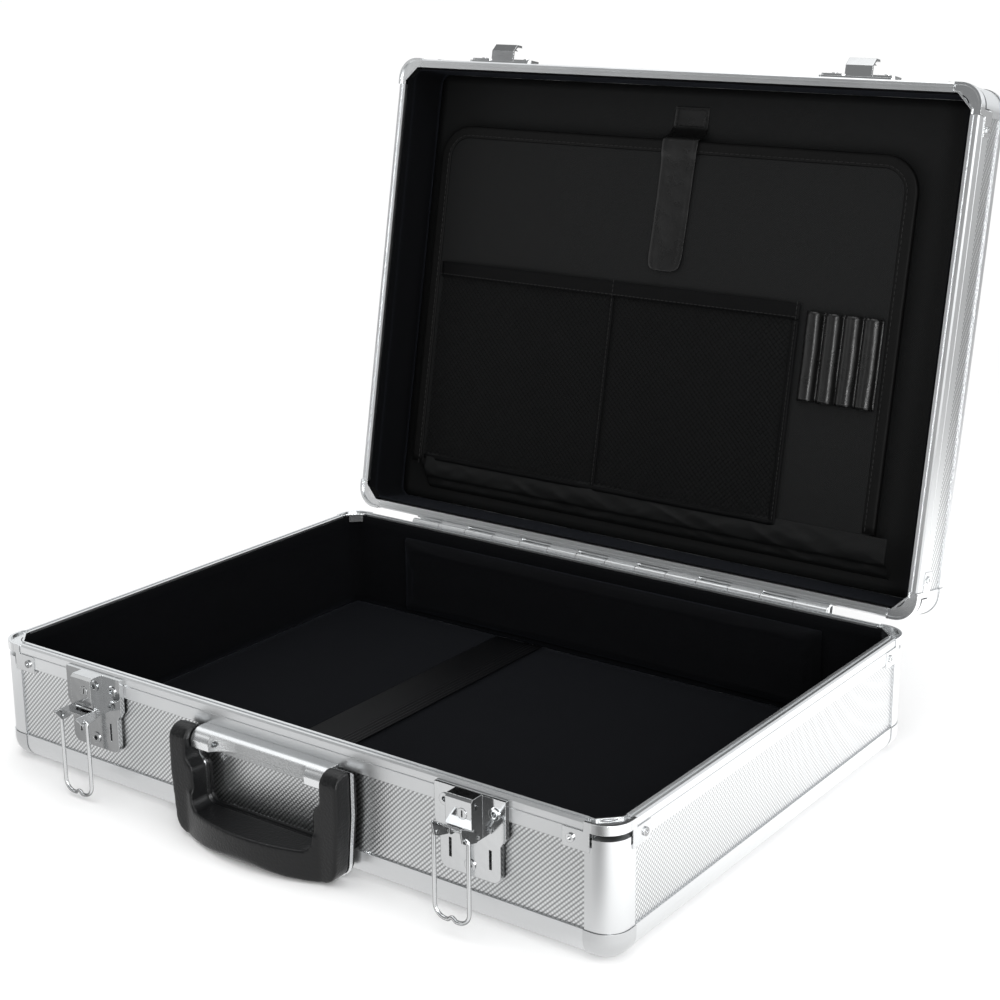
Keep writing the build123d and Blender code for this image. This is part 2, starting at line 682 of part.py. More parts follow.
def keepers():
    """Hooks on the lid's front that the closed bails pull down on, with their rivets."""
    with BuildPart() as hooks:
        for sign in (-1, 1):
            x = sign * LATCH_X
            with BuildSketch(out_plane(x, 0, 0)):
                with Locations((0, 88.0)):
                    RectangleRounded(54.0, 17.0, 3.0)
            extrude(amount=1.4)
            with BuildSketch(out_plane(x, 1.4, 0)):
                with Locations((-17.5, 88.0), (17.5, 88.0)):
                    RectangleRounded(17.0, 13.0, 2.5)
            extrude(amount=1.6)
            with BuildSketch(side_plane(x + 9.5)):
                with BuildLine():
                    Polyline((0.5, HOOK_Z - 5.6), (9.0, HOOK_Z - 5.6), (14.0, HOOK_Z - 1.4), (14.0, HOOK_Z + 4.0),
                             (12.4, HOOK_Z + 4.6), (12.4, HOOK_Z - 0.4), (10.6, HOOK_Z - 2.6),
                             (9.8, HOOK_Z - 0.3), (0.5, HOOK_Z - 0.3), close=True)
                make_face()
            extrude(amount=19.0)
            with BuildSketch(out_plane(x, 1.0, 0)):
                with Locations((0, HOOK_Z - 0.3)):
                    Rectangle(7.0, 5.4)
            extrude(amount=9.5, mode=Mode.SUBTRACT)
            with BuildSketch(out_plane(x, 3.0, 0)):
                with Locations((-8.0, HOOK_Z - 1.7), (8.0, HOOK_Z - 1.7)):
                    Rectangle(6.0, 5.0)
            extrude(amount=6.5, mode=Mode.SUBTRACT)
    save_lid_piece(hooks.part, "keepers")

    with BuildPart() as rivets:
        with Locations(*[Location((sign * LATCH_X + off, FRONT - 3.5, 88.0), (90, 0, 0))
                         for sign in (-1, 1) for off in (-18.5, 18.5)]):
            Cylinder(2.2, 1.0)
    save_lid_piece(rivets.part, "keeper_rivets")


# ---------------------------------------------------------------- handle
def handle_outline(half_top, half_low, low, corner, arm_top):
    """Front view of one side-to-side handle piece: straight arms closing in to a rounded bottom."""
    with BuildSketch(out_plane(0, 0, 0)) as outline:
        with BuildLine():
            Polyline((-half_low, low), (half_low, low), (half_top, 40.0), (half_top, arm_top),
                     (-half_top, arm_top), (-half_top, 40.0), close=True)
        make_face()
        fillet(outline.vertices().group_by(Axis.Z)[0], corner)
    return outline.sketch


def handle():
    """Bracket on the front wall and the two-shell grip that swings on it."""
    bracket_half = 49.5
    recess_half, recess_turn = 36.0, 11.0
    with BuildPart() as bracket:
        with BuildSketch(side_plane(bracket_half)):
            with BuildLine():
                Polyline((0.1, 50.0), (2.6, 50.0), (2.6, 53.0), (13.0, 54.5), (13.5, 59.0))
                RadiusArc((13.5, 59.0), (5.5, 65.0), -8.0)
                Polyline((5.5, 65.0), (0.1, 65.0), (0.1, 50.0))
            make_face()
        extrude(amount=2 * bracket_half)
        with BuildSketch(Plane.XY.offset(46.7)):
            with BuildLine():
                Polyline((recess_half, FRONT - 25.0), (recess_half, FRONT - 13.6))
                RadiusArc((recess_half, FRONT - 13.6), (recess_half - recess_turn, FRONT - 3.0), -13.0)
                Line((recess_half - recess_turn, FRONT - 3.0), (recess_turn - recess_half, FRONT - 3.0))
                RadiusArc((recess_turn - recess_half, FRONT - 3.0), (-recess_half, FRONT - 13.6), -13.0)
                Polyline((-recess_half, FRONT - 13.6), (-recess_half, FRONT - 25.0),
                         (recess_half, FRONT - 25.0))
            make_face()
        extrude(amount=16.9, mode=Mode.SUBTRACT)
        with BuildSketch(side_plane(60.0)):
            with Locations((HANDLE_OUT, HANDLE_Z)):
                Circle(1.85)
        extrude(amount=120.0, mode=Mode.SUBTRACT)
        with BuildSketch(out_plane(0, 0, 0)):
            with Locations(*BRACKET_SCREWS):
                Circle(1.85)
        extrude(amount=2.4, mode=Mode.SUBTRACT)
    save(bracket.part, "handle_bracket")

    with BuildPart() as screws:
        with BuildSketch(out_plane(0, 0.1 - WALL, 0)):
            with Locations(*BRACKET_SCREWS):
                Circle(1.8)
        extrude(amount=WALL + 2.3)
    save(screws.part, "bracket_screws")

    pin_in, pin_out = 40.0, 58.0
    with BuildPart() as pins:
        for sign in (-1, 1):
            with BuildSketch(Plane(origin=(sign * pin_in, FRONT - HANDLE_OUT, HANDLE_Z), z_dir=(sign, 0, 0))):
                Circle(1.8)
            extrude(amount=pin_out - pin_in)
    save(pins.part, "handle_pins")

    rear, split_rear, split_front, front = 1.5, 3.6, 6.0, 18.0
    arm_top = HANDLE_Z + 8.3
    arm_in = bracket_half + 0.8
    window_half = 45.0
    window_low = 19.5
    bulge = 11.0

    def window_cut(depth_from, depth_to, wider):
        """The finger opening, wider at the top where the arms pass the bracket's ends."""
        half, top_half, low = window_half + wider, arm_in + wider, window_low - wider
        with BuildSketch(out_plane(0, depth_from, 0)) as opening:
            with BuildLine():
                Polyline((-half, low), (half, low), (half, 43.0), (top_half, 48.0), (top_half, 80.0),
                         (-top_half, 80.0), (-top_half, 48.0), (-half, 43.0), close=True)
            make_face()
            fillet(opening.vertices().group_by(Axis.Z)[0], 6.0)
        extrude(opening.sketch, amount=depth_to - depth_from, mode=Mode.SUBTRACT)

    def arm_profile(low, nose):
        """Side view of the arms: round about the pivot, straight down, round at the bottom."""
        with BuildSketch(side_plane(80.0)) as profile:
            with BuildLine():
                Line((HANDLE_OUT - 8.0, HANDLE_Z), (HANDLE_OUT - 8.0, low))
                Line((HANDLE_OUT - 8.0, low), (nose - 7.0, low))
                RadiusArc((nose - 7.0, low), (nose, low + 7.0), -7.0)
                Line((nose, low + 7.0), (nose, 20.0))
                Line((nose, 20.0), (front, 30.0))
                Line((front, 30.0), (front, HANDLE_Z))
                ThreePointArc((front, HANDLE_Z), (HANDLE_OUT + 0.25, arm_top), (HANDLE_OUT - 8.0, HANDLE_Z))
            make_face()
        return profile.sketch

    def plan_profile():
        """Plan view of the grip: flat at the arms, swelling towards the hand in the middle."""
        with BuildSketch(Plane.XY) as plan:
            with BuildLine():
                Polyline((-80.0, FRONT), (-80.0, FRONT - front), (-50.0, FRONT - front))
                ThreePointArc((-50.0, FRONT - front), (0, FRONT - front - bulge), (50.0, FRONT - front))
                Polyline((50.0, FRONT - front), (80.0, FRONT - front), (80.0, FRONT), (-80.0, FRONT))
            make_face()
        return plan.sketch

    def shell_piece(depth_from, depth_to, grow):
        with BuildPart() as piece:
            outline = handle_outline(HANDLE_HALF + grow, HANDLE_HALF - 3.5 + grow, 1.6 - grow, 10.0, 80.0)
            extrude(outline.moved(Location((0, -depth_from, 0))), amount=depth_to - depth_from)
            window_cut(depth_from - 1, depth_to + 1, 2.0 if grow else 0.0)
            extrude(arm_profile(1.6 - grow, front + bulge), amount=160.0, mode=Mode.INTERSECT)
            if depth_to > front:
                extrude(plan_profile(), amount=100.0, mode=Mode.INTERSECT)
            for sign in (-1, 1):
                with BuildSketch(Plane(origin=(sign * 49.0, FRONT - HANDLE_OUT, HANDLE_Z),
                                       z_dir=(sign, 0, 0))):
                    Circle(1.8)
                extrude(amount=pin_out - 49.0, mode=Mode.SUBTRACT)
        return piece.part

    save(shell_piece(split_front, front + bulge + 1, 0.0), "handle_front_shell")
    save(shell_piece(split_rear, split_front, 0.3), "handle_trim_band")
    save(shell_piece(rear, split_rear, 0.0), "handle_rear_shell")


# ---------------------------------------------------------------- feet
def feet():
    """Round studs on the back wall that the closed case stands on."""
    with BuildPart() as studs:
        for x in (-195.0, 195.0):
            with BuildSketch(Plane(origin=(x, DEPTH / 2 - SKIN, 40.0), z_dir=(0, 1, 0))):
                Circle(8.0)
            extrude(amount=10.5)
        fillet(studs.faces().sort_by(Axis.Y)[-2:].edges(), 2.0)
    save(studs.part, "base_feet")


def main():
    os.makedirs("parts", exist_ok=True)
    for tub in (BASE, LID):
        shell(tub)
    base_padding()
    organiser()
    hinge()
    for side, sign in LEFT_RIGHT.items():
        latch_fixed(side, sign)
        latch_moving(side, sign)
    latch_rivets()
    lever_pins()
    keepers()
    handle()
    feet()


main()
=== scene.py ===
"""Looks of the aluminium attache case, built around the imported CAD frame.

Everything is in the row frame. Soft pieces are drawn in millimetres: those of the base where they
stand, those of the lid in the closed lid, and LID_MOVE then swings them to where the lid rests.
"""
import json
from math import cos, exp, pi, radians, sin, sqrt

import bpy
from mathutils import Matrix, Vector, noise


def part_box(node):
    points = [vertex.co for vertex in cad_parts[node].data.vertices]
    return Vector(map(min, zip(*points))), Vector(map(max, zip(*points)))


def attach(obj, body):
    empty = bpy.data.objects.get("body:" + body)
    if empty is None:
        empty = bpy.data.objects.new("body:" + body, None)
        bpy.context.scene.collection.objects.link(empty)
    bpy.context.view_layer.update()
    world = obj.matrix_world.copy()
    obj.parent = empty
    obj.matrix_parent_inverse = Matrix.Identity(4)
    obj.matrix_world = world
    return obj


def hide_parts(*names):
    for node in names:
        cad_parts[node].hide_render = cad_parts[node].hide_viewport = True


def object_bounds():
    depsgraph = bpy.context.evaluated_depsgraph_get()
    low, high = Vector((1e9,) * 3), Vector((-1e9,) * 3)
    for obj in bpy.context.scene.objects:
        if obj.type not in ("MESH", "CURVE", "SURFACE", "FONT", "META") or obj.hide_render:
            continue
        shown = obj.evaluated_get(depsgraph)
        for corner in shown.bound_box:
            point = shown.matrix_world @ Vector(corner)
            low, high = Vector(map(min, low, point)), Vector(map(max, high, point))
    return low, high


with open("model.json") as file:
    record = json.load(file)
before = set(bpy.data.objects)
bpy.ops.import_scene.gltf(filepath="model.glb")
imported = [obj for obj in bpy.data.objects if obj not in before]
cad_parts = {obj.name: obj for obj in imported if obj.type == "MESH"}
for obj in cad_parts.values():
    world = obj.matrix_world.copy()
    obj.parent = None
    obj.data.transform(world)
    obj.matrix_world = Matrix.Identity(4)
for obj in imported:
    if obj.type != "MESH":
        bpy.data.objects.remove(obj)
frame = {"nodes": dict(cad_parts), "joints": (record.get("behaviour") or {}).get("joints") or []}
cad_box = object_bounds()

MM = 0.001
JOINTS = {joint["name"]: joint for joint in frame["joints"]}


# ---------------------------------------------------------------- the lid's own frame
def lid_move():
    """Matrix in metres from the closed lid to the lid at rest, open on its stop."""
    hinge = JOINTS["lid_hinge"]
    pivot = Matrix.Translation(Vector(hinge["pos_m"]))
    swing = Matrix.Rotation(-radians(max(hinge["range_deg"])), 4, Vector(hinge["axis"]))
    return pivot @ swing @ pivot.inverted()


LID_MOVE = lid_move()
BASE_MOVE = Matrix.Identity(4)


def closed_box(node):
    """Lowest and highest corner, in millimetres, of a lid node with the lid closed."""
    back = LID_MOVE.inverted()
    points = [back @ vertex.co for vertex in frame["nodes"][node].data.vertices]
    low = [min(point[axis] for point in points) / MM for axis in range(3)]
    high = [max(point[axis] for point in points) / MM for axis in range(3)]
    return low, high


def base_box(node):
    """Lowest and highest corner of a node of the base, in millimetres."""
    low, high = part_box(node)
    return [value / MM for value in low], [value / MM for value in high]


# ---------------------------------------------------------------- materials
class Look:
    """A material being made: a Principled shader, with short calls that add nodes to it."""

    def __init__(self, name, **sockets):
        self.material = bpy.data.materials.new(name)
        self.material.use_nodes = True
        self.tree = self.material.node_tree
        self.shader = self.tree.nodes["Principled BSDF"]
        self.place = self.tree.nodes.new("ShaderNodeTexCoord").outputs["Object"]
        self.edge_normal = None
        for socket, value in sockets.items():
            self.set(socket.replace("_", " "), value)

    def set(self, socket, value):
        """Give a shader socket a plain value, or link a node's output to it."""
        if isinstance(value, bpy.types.NodeSocket):
            self.tree.links.new(value, self.shader.inputs[socket])
        else:
            self.shader.inputs[socket].default_value = value

    def node(self, kind, inputs, **settings):
        """Add a node; each input is a plain value or another node's output."""
        made = self.tree.nodes.new(kind)
        for name, value in settings.items():
            setattr(made, name, value)
        for key, value in inputs.items():
            if isinstance(value, bpy.types.NodeSocket):
                self.tree.links.new(value, made.inputs[key])
            else:
                made.inputs[key].default_value = value
        return made

    def math(self, operation, first, second=0.0):
        return self.node("ShaderNodeMath", {0: first, 1: second}, operation=operation).outputs[0]

    def along(self, direction):
        """Distance along a direction, in millimetres."""
        scaled = Vector(direction) / MM
        made = self.node("ShaderNodeVectorMath", {0: self.place, 1: scaled}, operation="DOT_PRODUCT")
        return made.outputs["Value"]

    def wave(self, distance, pitch):
        """A sine from 0 to 1 that repeats every pitch."""
        turned = self.math("SINE", self.math("MULTIPLY", distance, 2 * pi / pitch))
        return self.math("ADD", self.math("MULTIPLY", turned, 0.5), 0.5)

    def noise(self, size, detail=3.0):
        """Noise whose blotches are about size millimetres across."""
        made = self.node("ShaderNodeTexNoise", {"Vector": self.place, "Scale": 1 / (size * MM),
                                                "Detail": detail})
        return made.outputs["Fac"]

    def cells(self, size, feature="F1"):
        """Distance to the middle of cells about size millimetres across."""
        made = self.node("ShaderNodeTexVoronoi", {"Vector": self.place, "Scale": 1 / (size * MM)},
                         feature=feature)
        return made.outputs["Distance"]

    def spread(self, value, low, high):
        """Stretch a value from 0..1 to low..high."""
        made = self.node("ShaderNodeMapRange", {"Value": value, "To Min": low, "To Max": high})
        return made.outputs["Result"]

    def blend(self, value, dark, light):
        """A colour between dark and light."""
        made = self.node("ShaderNodeMix", {"Factor": value}, data_type="RGBA")
        made.inputs[6].default_value = (*dark, 1)
        made.inputs[7].default_value = (*light, 1)
        return made.outputs[2]

    def round_edges(self, radius):
        """Shade sharp edges as if they were rounded to a radius in millimetres."""
        made = self.node("ShaderNodeBevel", {"Radius": radius * MM}, samples=6)
        self.edge_normal = made.outputs["Normal"]
        self.set("Normal", self.edge_normal)

    def bump(self, height, depth):
        """Relief of depth millimetres."""
        inputs = {"Height": height, "Distance": depth * MM}
        if self.edge_normal:
            inputs["Normal"] = self.edge_normal
        self.set("Normal", self.node("ShaderNodeBump", inputs).outputs["Normal"])


COOL = (0.985, 1.0, 1.01)               # tint of the bare metal
GRIP_BLACK = (0.95, 1.0, 1.1)
FELT_BLACK = (0.9, 0.95, 1.1)


def grey(value, tint=(1.0, 1.0, 1.0)):
    """A grey of a given value, tinted."""
    return tuple(value * part for part in tint)


def set_stops(ramp, stops, scale=1.0):
    """Fill a colour ramp with (position, grey) stops."""
    for position, shade in stops[1:-1]:
        ramp.elements.new(position).color = (*grey(shade * scale, COOL), 1)
    for element, (position, shade) in ((ramp.elements[0], stops[0]), (ramp.elements[-1], stops[-1])):
        element.position = position
        element.color = (*grey(shade * scale, COOL), 1)


def ribbed_aluminium(name, across, up):
    """Embossed aluminium foil: ribs rising at 45 degrees, nicked by finer ones that cross them."""
    pitch = 2.05                        # from rib to rib
    relief = 0.12                       # height of a rib
    rib_roundness, nick_roundness = 0.55, 0.6
    nick_floor = 0.55                   # share of a rib's height that a nick leaves
    valley_shade, ridge = 0.24, 0.97          # tones of the foil; the dark valley tone is painted shade between the ribs
    look = Look(name, Metallic=1.0)
    level = look.along(across)
    rise = look.along(up)
    slant = look.math("MULTIPLY", look.math("SUBTRACT", rise, level), sqrt(0.5))
    run = look.math("MULTIPLY", look.math("ADD", rise, level), sqrt(0.5))
    rib = look.math("POWER", look.wave(slant, pitch), rib_roundness)
    nick = look.math("POWER", look.wave(run, pitch), nick_roundness)
    height = look.math("MULTIPLY", rib, look.spread(nick, nick_floor, 1.0))
    # the foil is painted darker down in the valleys between the ribs: painted shade
    shaded_rib_tone = look.math("MULTIPLY", height, look.spread(look.noise(30.0), 0.9, 1.0))
    look.set("Base Color", look.blend(shaded_rib_tone, grey(valley_shade, COOL), grey(ridge, COOL)))
    look.set("Roughness", look.spread(look.noise(18.0), 0.28, 0.36))
    look.bump(height, relief)
    return look.material


def satin_aluminium(name, shade, rough, edge=0.0):
    """Anodised extrusion: even satin with a fine grain and faint cloudy marks."""
    grain_size, grain_depth = 0.35, 0.0012
    look = Look(name, Metallic=0.96)
    if edge:
        look.round_edges(edge)
    cloud = look.noise(35.0, 4.0)
    grain = look.noise(grain_size, 2.0)
    look.set("Base Color", look.blend(cloud, grey(shade * 0.92, COOL), grey(shade, COOL)))
    look.set("Roughness", look.spread(cloud, rough - 0.05, rough + 0.06))
    look.bump(grain, grain_depth)
    return look.material


# (how far the face turns away from the eye, tone): painted reflection, the bright and dark bands of a room
# painted into plated steel
CHROME_REFLECTION_TONES = ((0.0, 0.80), (0.26, 0.92), (0.36, 0.55), (0.45, 0.16), (0.56, 0.40), (0.70, 0.95),
                (0.82, 0.70), (0.90, 0.10), (1.0, 0.35))


# painted reflection tones, as above, for the rim brackets and the handle's trim band
BRACKET_REFLECTION_TONES = ((0.0, 0.95), (0.30, 0.90), (0.48, 0.62), (0.70, 0.95), (1.0, 0.6))
BAND_REFLECTION_TONES = ((0.0, 0.95), (1.0, 0.9))


def chrome(name, shade=0.95, rough=0.09, reflection_tones=CHROME_REFLECTION_TONES):
    """Plated steel with a painted reflection: a room's bright and dark bands, painted on as a face turns."""
    look = Look(name, Metallic=1.0)
    look.round_edges(0.35)
    smudge = look.noise(6.0, 4.0)
    look.set("Roughness", look.spread(smudge, rough - 0.02, rough + 0.06))
    look.bump(look.noise(7.0, 1.0), 0.05)
    bent = look.shader.inputs["Normal"].links[0].from_socket
    facing = look.node("ShaderNodeLayerWeight", {"Blend": 0.5, "Normal": bent}).outputs["Facing"]
    # painted reflection: the colour runs through bright and dark bands as the face turns from the eye
    bands = look.node("ShaderNodeValToRGB", {"Fac": facing})
    set_stops(bands.color_ramp, reflection_tones, shade)
    look.set("Base Color", bands.outputs["Color"])
    return look.material


def satin_casting():
    """Handle bracket: bright satin outside; sand-like grain and painted shade in the recess behind the hand.
    """
    recess_half = 36.1                  # half the recess's length along x
    recess_top = 63.4                   # height of its upper edge
    outside, recess_grain_and_shade = 0.98, 0.58        # tones; the recess's darker grey is partly its grain, partly painted shade
    look = Look("satin_casting", Metallic=1.0)
    look.round_edges(0.4)
    low = look.math("LESS_THAN", look.along((0, 0, 1)), recess_top)
    wide = look.math("LESS_THAN", look.math("ABSOLUTE", look.along((1, 0, 0))), recess_half)
    sunk = look.math("MULTIPLY", low, wide)
    grain = look.cells(0.8)
    speck = look.math("MULTIPLY", sunk, look.spread(look.noise(0.9, 3.0), 0.55, 1.25))
    # the recess is painted darker: partly its sand-like grain, partly painted shade
    look.set("Base Color", look.blend(speck, grey(outside, COOL), grey(recess_grain_and_shade, COOL)))
    look.set("Roughness", look.spread(sunk, 0.24, 0.5))
    look.bump(look.math("MULTIPLY", grain, look.spread(sunk, 0.01, 0.7)), 0.3)
    return look.material


def black_grip():
    """Moulded plastic with a leather grain, worn a little smoother in large patches."""
    look = Look("black_grip", Specular_IOR_Level=0.36)
    grain = look.cells(1.3, "SMOOTH_F1")
    fine = look.noise(0.5, 2.0)
    patches = look.noise(25.0)
    look.set("Base Color", look.blend(patches, grey(0.003, GRIP_BLACK), grey(0.006, GRIP_BLACK)))
    look.set("Roughness", look.spread(patches, 0.30, 0.40))
    look.bump(look.math("ADD", grain, look.math("MULTIPLY", fine, 0.35)), 0.16)
    return look.material


def felt(name, shade):
    """Short black pile with a sheen at grazing angles and brushed patches."""
    look = Look(name, Roughness=1.0, Specular_IOR_Level=0.06, Sheen_Weight=0.03, Sheen_Roughness=0.45,
                Sheen_Tint=(0.55, 0.62, 0.8, 1))
    nap = look.noise(14.0, 4.0)
    fibre = look.noise(0.6, 4.0)
    look.set("Base Color", look.blend(nap, grey(shade * 0.7, FELT_BLACK), grey(shade, FELT_BLACK)))
    look.bump(fibre, 0.25)
    return look.material


def woven(name, shade, pitch, across, up, tint=(1, 1, 1), rough=0.62, spec=0.35, depth=0.16):
    """Plain weave: threads that pass over and under along two directions."""
    look = Look(name, Specular_IOR_Level=spec)
    one = look.along(across)
    two = look.along(up)
    over = look.math("MULTIPLY", look.wave(one, pitch), look.wave(two, pitch))
    under = look.math("MULTIPLY", look.math("SUBTRACT", 1.0, look.wave(one, pitch)),
                      look.math("SUBTRACT", 1.0, look.wave(two, pitch)))
    height = look.math("ADD", over, under)
    fold = look.noise(40.0, 3.0)
    look.set("Base Color", look.blend(height, grey(shade * 0.45, tint), grey(shade, tint)))
    look.set("Roughness", look.spread(fold, rough - 0.06, rough + 0.08))
    look.bump(height, depth)
    return look.material


def vinyl(name, shade, rough, wrinkle, shine):
    """Soft coated cloth: a fine pebble and shallow creases under more or less shine."""
    look = Look(name, Specular_IOR_Level=shine)
    creases = look.noise(wrinkle)
    pebble = look.cells(0.7)
    look.set("Base Color", look.blend(creases, grey(shade * 0.7), grey(shade)))
    look.set("Roughness", look.spread(creases, rough - 0.06, rough + 0.10))
    look.bump(look.math("ADD", creases, look.math("MULTIPLY", pebble, 0.12)), 0.35)
    return look.material


def rubber():
    """Matt moulded rubber with fine specks."""
    look = Look("black_rubber", Specular_IOR_Level=0.3)
    speck = look.noise(1.2, 4.0)
    look.set("Base Color", look.blend(speck, grey(0.012), grey(0.026)))
    look.set("Roughness", look.spread(speck, 0.6, 0.8))
    look.bump(speck, 0.06)
    return look.material


def lid_axis(direction):
    """A direction of the closed lid, turned with the open lid."""
    return LID_MOVE.to_3x3() @ Vector(direction)


X, Y, Z = (1, 0, 0), (0, 1, 0), (0, 0, 1)
LID_X, LID_Y, LID_Z = X, lid_axis(Y), lid_axis(Z)

PANEL_AXES = {
    "base_front_panel": (X, Z),
    "base_back_panel": ((-1, 0, 0), Z),
    "base_left_panel": ((0, -1, 0), Z),
    "base_right_panel": (Y, Z),
    "base_floor_panel": (X, Y),
    "lid_front_panel": (LID_X, LID_Z),
    "lid_back_panel": (LID_X, LID_Z),
    "lid_left_panel": (LID_Y, LID_Z),
    "lid_right_panel": (LID_Y, LID_Z),
    "lid_top_panel": (LID_X, LID_Y),
}

MAT = {
    "satin": satin_aluminium("satin_trim", 0.76, 0.34),
    "pressed": satin_aluminium("pressed_corner", 0.64, 0.30, 0.2),
    "chrome": chrome("chrome"),
    "bracket": chrome("bright_bracket", 0.88, 0.2, BRACKET_REFLECTION_TONES),
    "bright": chrome("bright_band", 0.95, 0.16, BAND_REFLECTION_TONES),
    "steel": satin_aluminium("plain_steel", 0.60, 0.30, 0.15),
    "hinge": satin_aluminium("hinge_strip", 0.80, 0.34),
    "casting": satin_casting(),
    "grip": black_grip(),
    "felt": felt("black_felt", 0.0035),
    "nylon": woven("black_nylon", 0.010, 1.2, LID_X, LID_Y, (0.96, 1.0, 1.02), 0.55, 0.14),
    "net": woven("black_net", 0.003, 0.8, LID_X, LID_Y, (0.9, 0.95, 1.05), 0.5, 0.10, 0.1),
    "binding": vinyl("black_vinyl", 0.004, 0.55, 7.0, 0.14),
    "gloss": vinyl("gloss_vinyl", 0.005, 0.27, 9.0, 0.5),
    "elastic": woven("black_elastic", 0.003, 0.9, X, Y, (0.9, 0.95, 1.15), 0.36, 0.14, 0.12),
    "thread": vinyl("black_thread", 0.012, 0.5, 1.0, 0.3),
    "rubber": rubber(),
}


# ---------------------------------------------------------------- carried-over CAD pieces
def polish(node, material):
    """Give a CAD piece its material."""
    piece = frame["nodes"][node]
    piece.data.materials.clear()
    piece.data.materials.append(material)


TUB_METALS = {
    "satin": ("rim", "corner_posts", "edge_trims"),
    "pressed": ("ball_corners",),
    "bracket": ("rim_brackets",),
    "chrome": ("bracket_rivets",),
}
LATCH_CHROME = ("latch_plate", "latch_hood", "latch_lever", "latch_bail", "lock_cylinder")
OTHER_METALS = {
    "chrome": ("latch_rivets", "keepers", "keeper_rivets", "hinge_base_rivets", "hinge_lid_rivets"),
    "steel": ("lever_pins", "bracket_screws", "handle_pins", "hinge_pin"),
    "casting": ("handle_bracket",),
    "bright": ("handle_trim_band",),
    "hinge": ("hinge_base_leaf", "hinge_lid_leaf"),
    "rubber": ("base_feet",),
}


def dress_metal():
    """Materials of the CAD pieces that stay as they are: metal, and the rubber feet."""
    for node, (across, up) in PANEL_AXES.items():
        polish(node, ribbed_aluminium(node.replace("panel", "ribs"), across, up))
    for tub in ("base", "lid"):
        for look, parts in TUB_METALS.items():
            for part in parts:
                polish(f"{tub}_{part}", MAT[look])
    for side in ("left", "right"):
        for part in LATCH_CHROME:
            polish(f"{side}_{part}", MAT["chrome"])
    for look, nodes in OTHER_METALS.items():
        for node in nodes:
            polish(node, MAT[look])


# ---------------------------------------------------------------- mesh helpers
def finish_piece(name, vertices, faces, move, body, material, smooth=True):
    """Make a mesh object from millimetre points, move it to its place and let it ride."""
    mesh = bpy.data.meshes.new(name)
    mesh.from_pydata([move @ (Vector(point) * MM) for point in vertices], [], faces)
    mesh.update()
    mesh.materials.append(material)
    mesh.polygons.foreach_set("use_smooth", [smooth] * len(mesh.polygons))
    piece = bpy.data.objects.new(name, mesh)
    bpy.context.scene.collection.objects.link(piece)
    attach(piece, body)
    return piece


def grid(columns, rows, point, loop=False):
    """Vertices and faces of a grid; point(u, v) takes shares from 0 to 1. loop joins u's ends."""
    vertices = []
    count = columns if loop else columns + 1
    for row in range(rows + 1):
        for column in range(count):
            vertices.append(point(column / columns, row / rows))
    faces = []
    for row in range(rows):
        for column in range(columns):
            right = (column + 1) % count
            faces.append((row * count + column, row * count + right,
                          (row + 1) * count + right, (row + 1) * count + column))
    return vertices, faces


def add_thickness(piece, thick, offset=-1.0, edge=0.0):
    """Turn a sheet into a thin solid, with soft edges."""
    solid = piece.modifiers.new("thickness", "SOLIDIFY")
    solid.thickness = thick * MM
    solid.offset = offset
    if edge:
        soft = piece.modifiers.new("edge", "BEVEL")
        soft.width = edge * MM
        soft.segments = 2
        soft.limit_method = "ANGLE"
        soft.angle_limit = radians(50)


def wobble(x, y, size, seed=0.0):
    """Smooth noise from about -1 to 1."""
    return noise.noise(Vector((x / size, y / size, seed)))


def rounded_rectangle(x, y, radius, steps=8):
    """Points round a rectangle, anticlockwise from its lower right side."""
    places = [(x[1], y[0], -90), (x[1], y[1], 0), (x[0], y[1], 90), (x[0], y[0], 180)]
    points = []
    for px, py, start in places:
        centre_x = px - radius if px == x[1] else px + radius
        centre_y = py - radius if py == y[1] else py + radius
        for step in range(steps + 1):
            turn = radians(start + 90 * step / steps)
            points.append((centre_x + radius * cos(turn), centre_y + radius * sin(turn)))
    return points


def smooth_path(points, per_span=8):
    """A Catmull-Rom curve through points of any dimension."""
    path = []
    ends = [points[0], *points, points[-1]]
    for before, start, end, after in zip(ends, ends[1:], ends[2:], ends[3:]):
        for step in range(per_span):
            share = step / per_span
            path.append(tuple(
                0.5 * (2 * b + (c - a) * share + (2 * a - 5 * b + 4 * c - d) * share ** 2
                       + (3 * b - a - 3 * c + d) * share ** 3)
                for a, b, c, d in zip(before, start, end, after)))
    path.append(tuple(points[-1]))
    return path


def path_length(points):
    """Length of a run of points of any dimension."""
    spans = zip(points, points[1:])
    return sum(sqrt(sum((b - a) ** 2 for a, b in zip(start, end))) for start, end in spans)


def stitches(name, path, move, body, out, length=3.2, gap=0.9, radius=0.32):
    """A row of short sewn stitches along a path; out is the direction that the cloth faces."""
    sides = 6
    rings = ((-0.5, 0.35), (-0.3, 1.0), (0.3, 1.0), (0.5, 0.35))    # share along, share of the radius
    vertices, faces = [], []
    walked = 0.0
    out = Vector(out)
    next_start = 0.0
    for start, end in zip(path, path[1:]):
        a, b = Vector(start), Vector(end)
        span = (b - a).length
        while span > 1e-9 and next_start < walked + span:
            direction = (b - a) / span
            middle = a + direction * (next_start - walked)
            side = direction.cross(out).normalized()
            first = len(vertices)
            for ring, (along, size) in enumerate(rings):
                centre = middle + direction * along * length
                for turn in range(sides):
                    angle = 2 * pi * turn / sides
                    vertices.append(centre + side * cos(angle) * radius * size
                                    + out * sin(angle) * radius * size)
                if ring:
                    for turn in range(sides):
                        low = first + (ring - 1) * sides
                        after = (turn + 1) % sides
                        faces.append((low + turn, low + after, low + sides + after, low + sides + turn))
            last = first + (len(rings) - 1) * sides
            faces.append(tuple(first + turn for turn in reversed(range(sides))))
            faces.append(tuple(last + turn for turn in range(sides)))
            next_start += length + gap
        walked += span
    return finish_piece(name, vertices, faces, move, body, MAT["thread"])


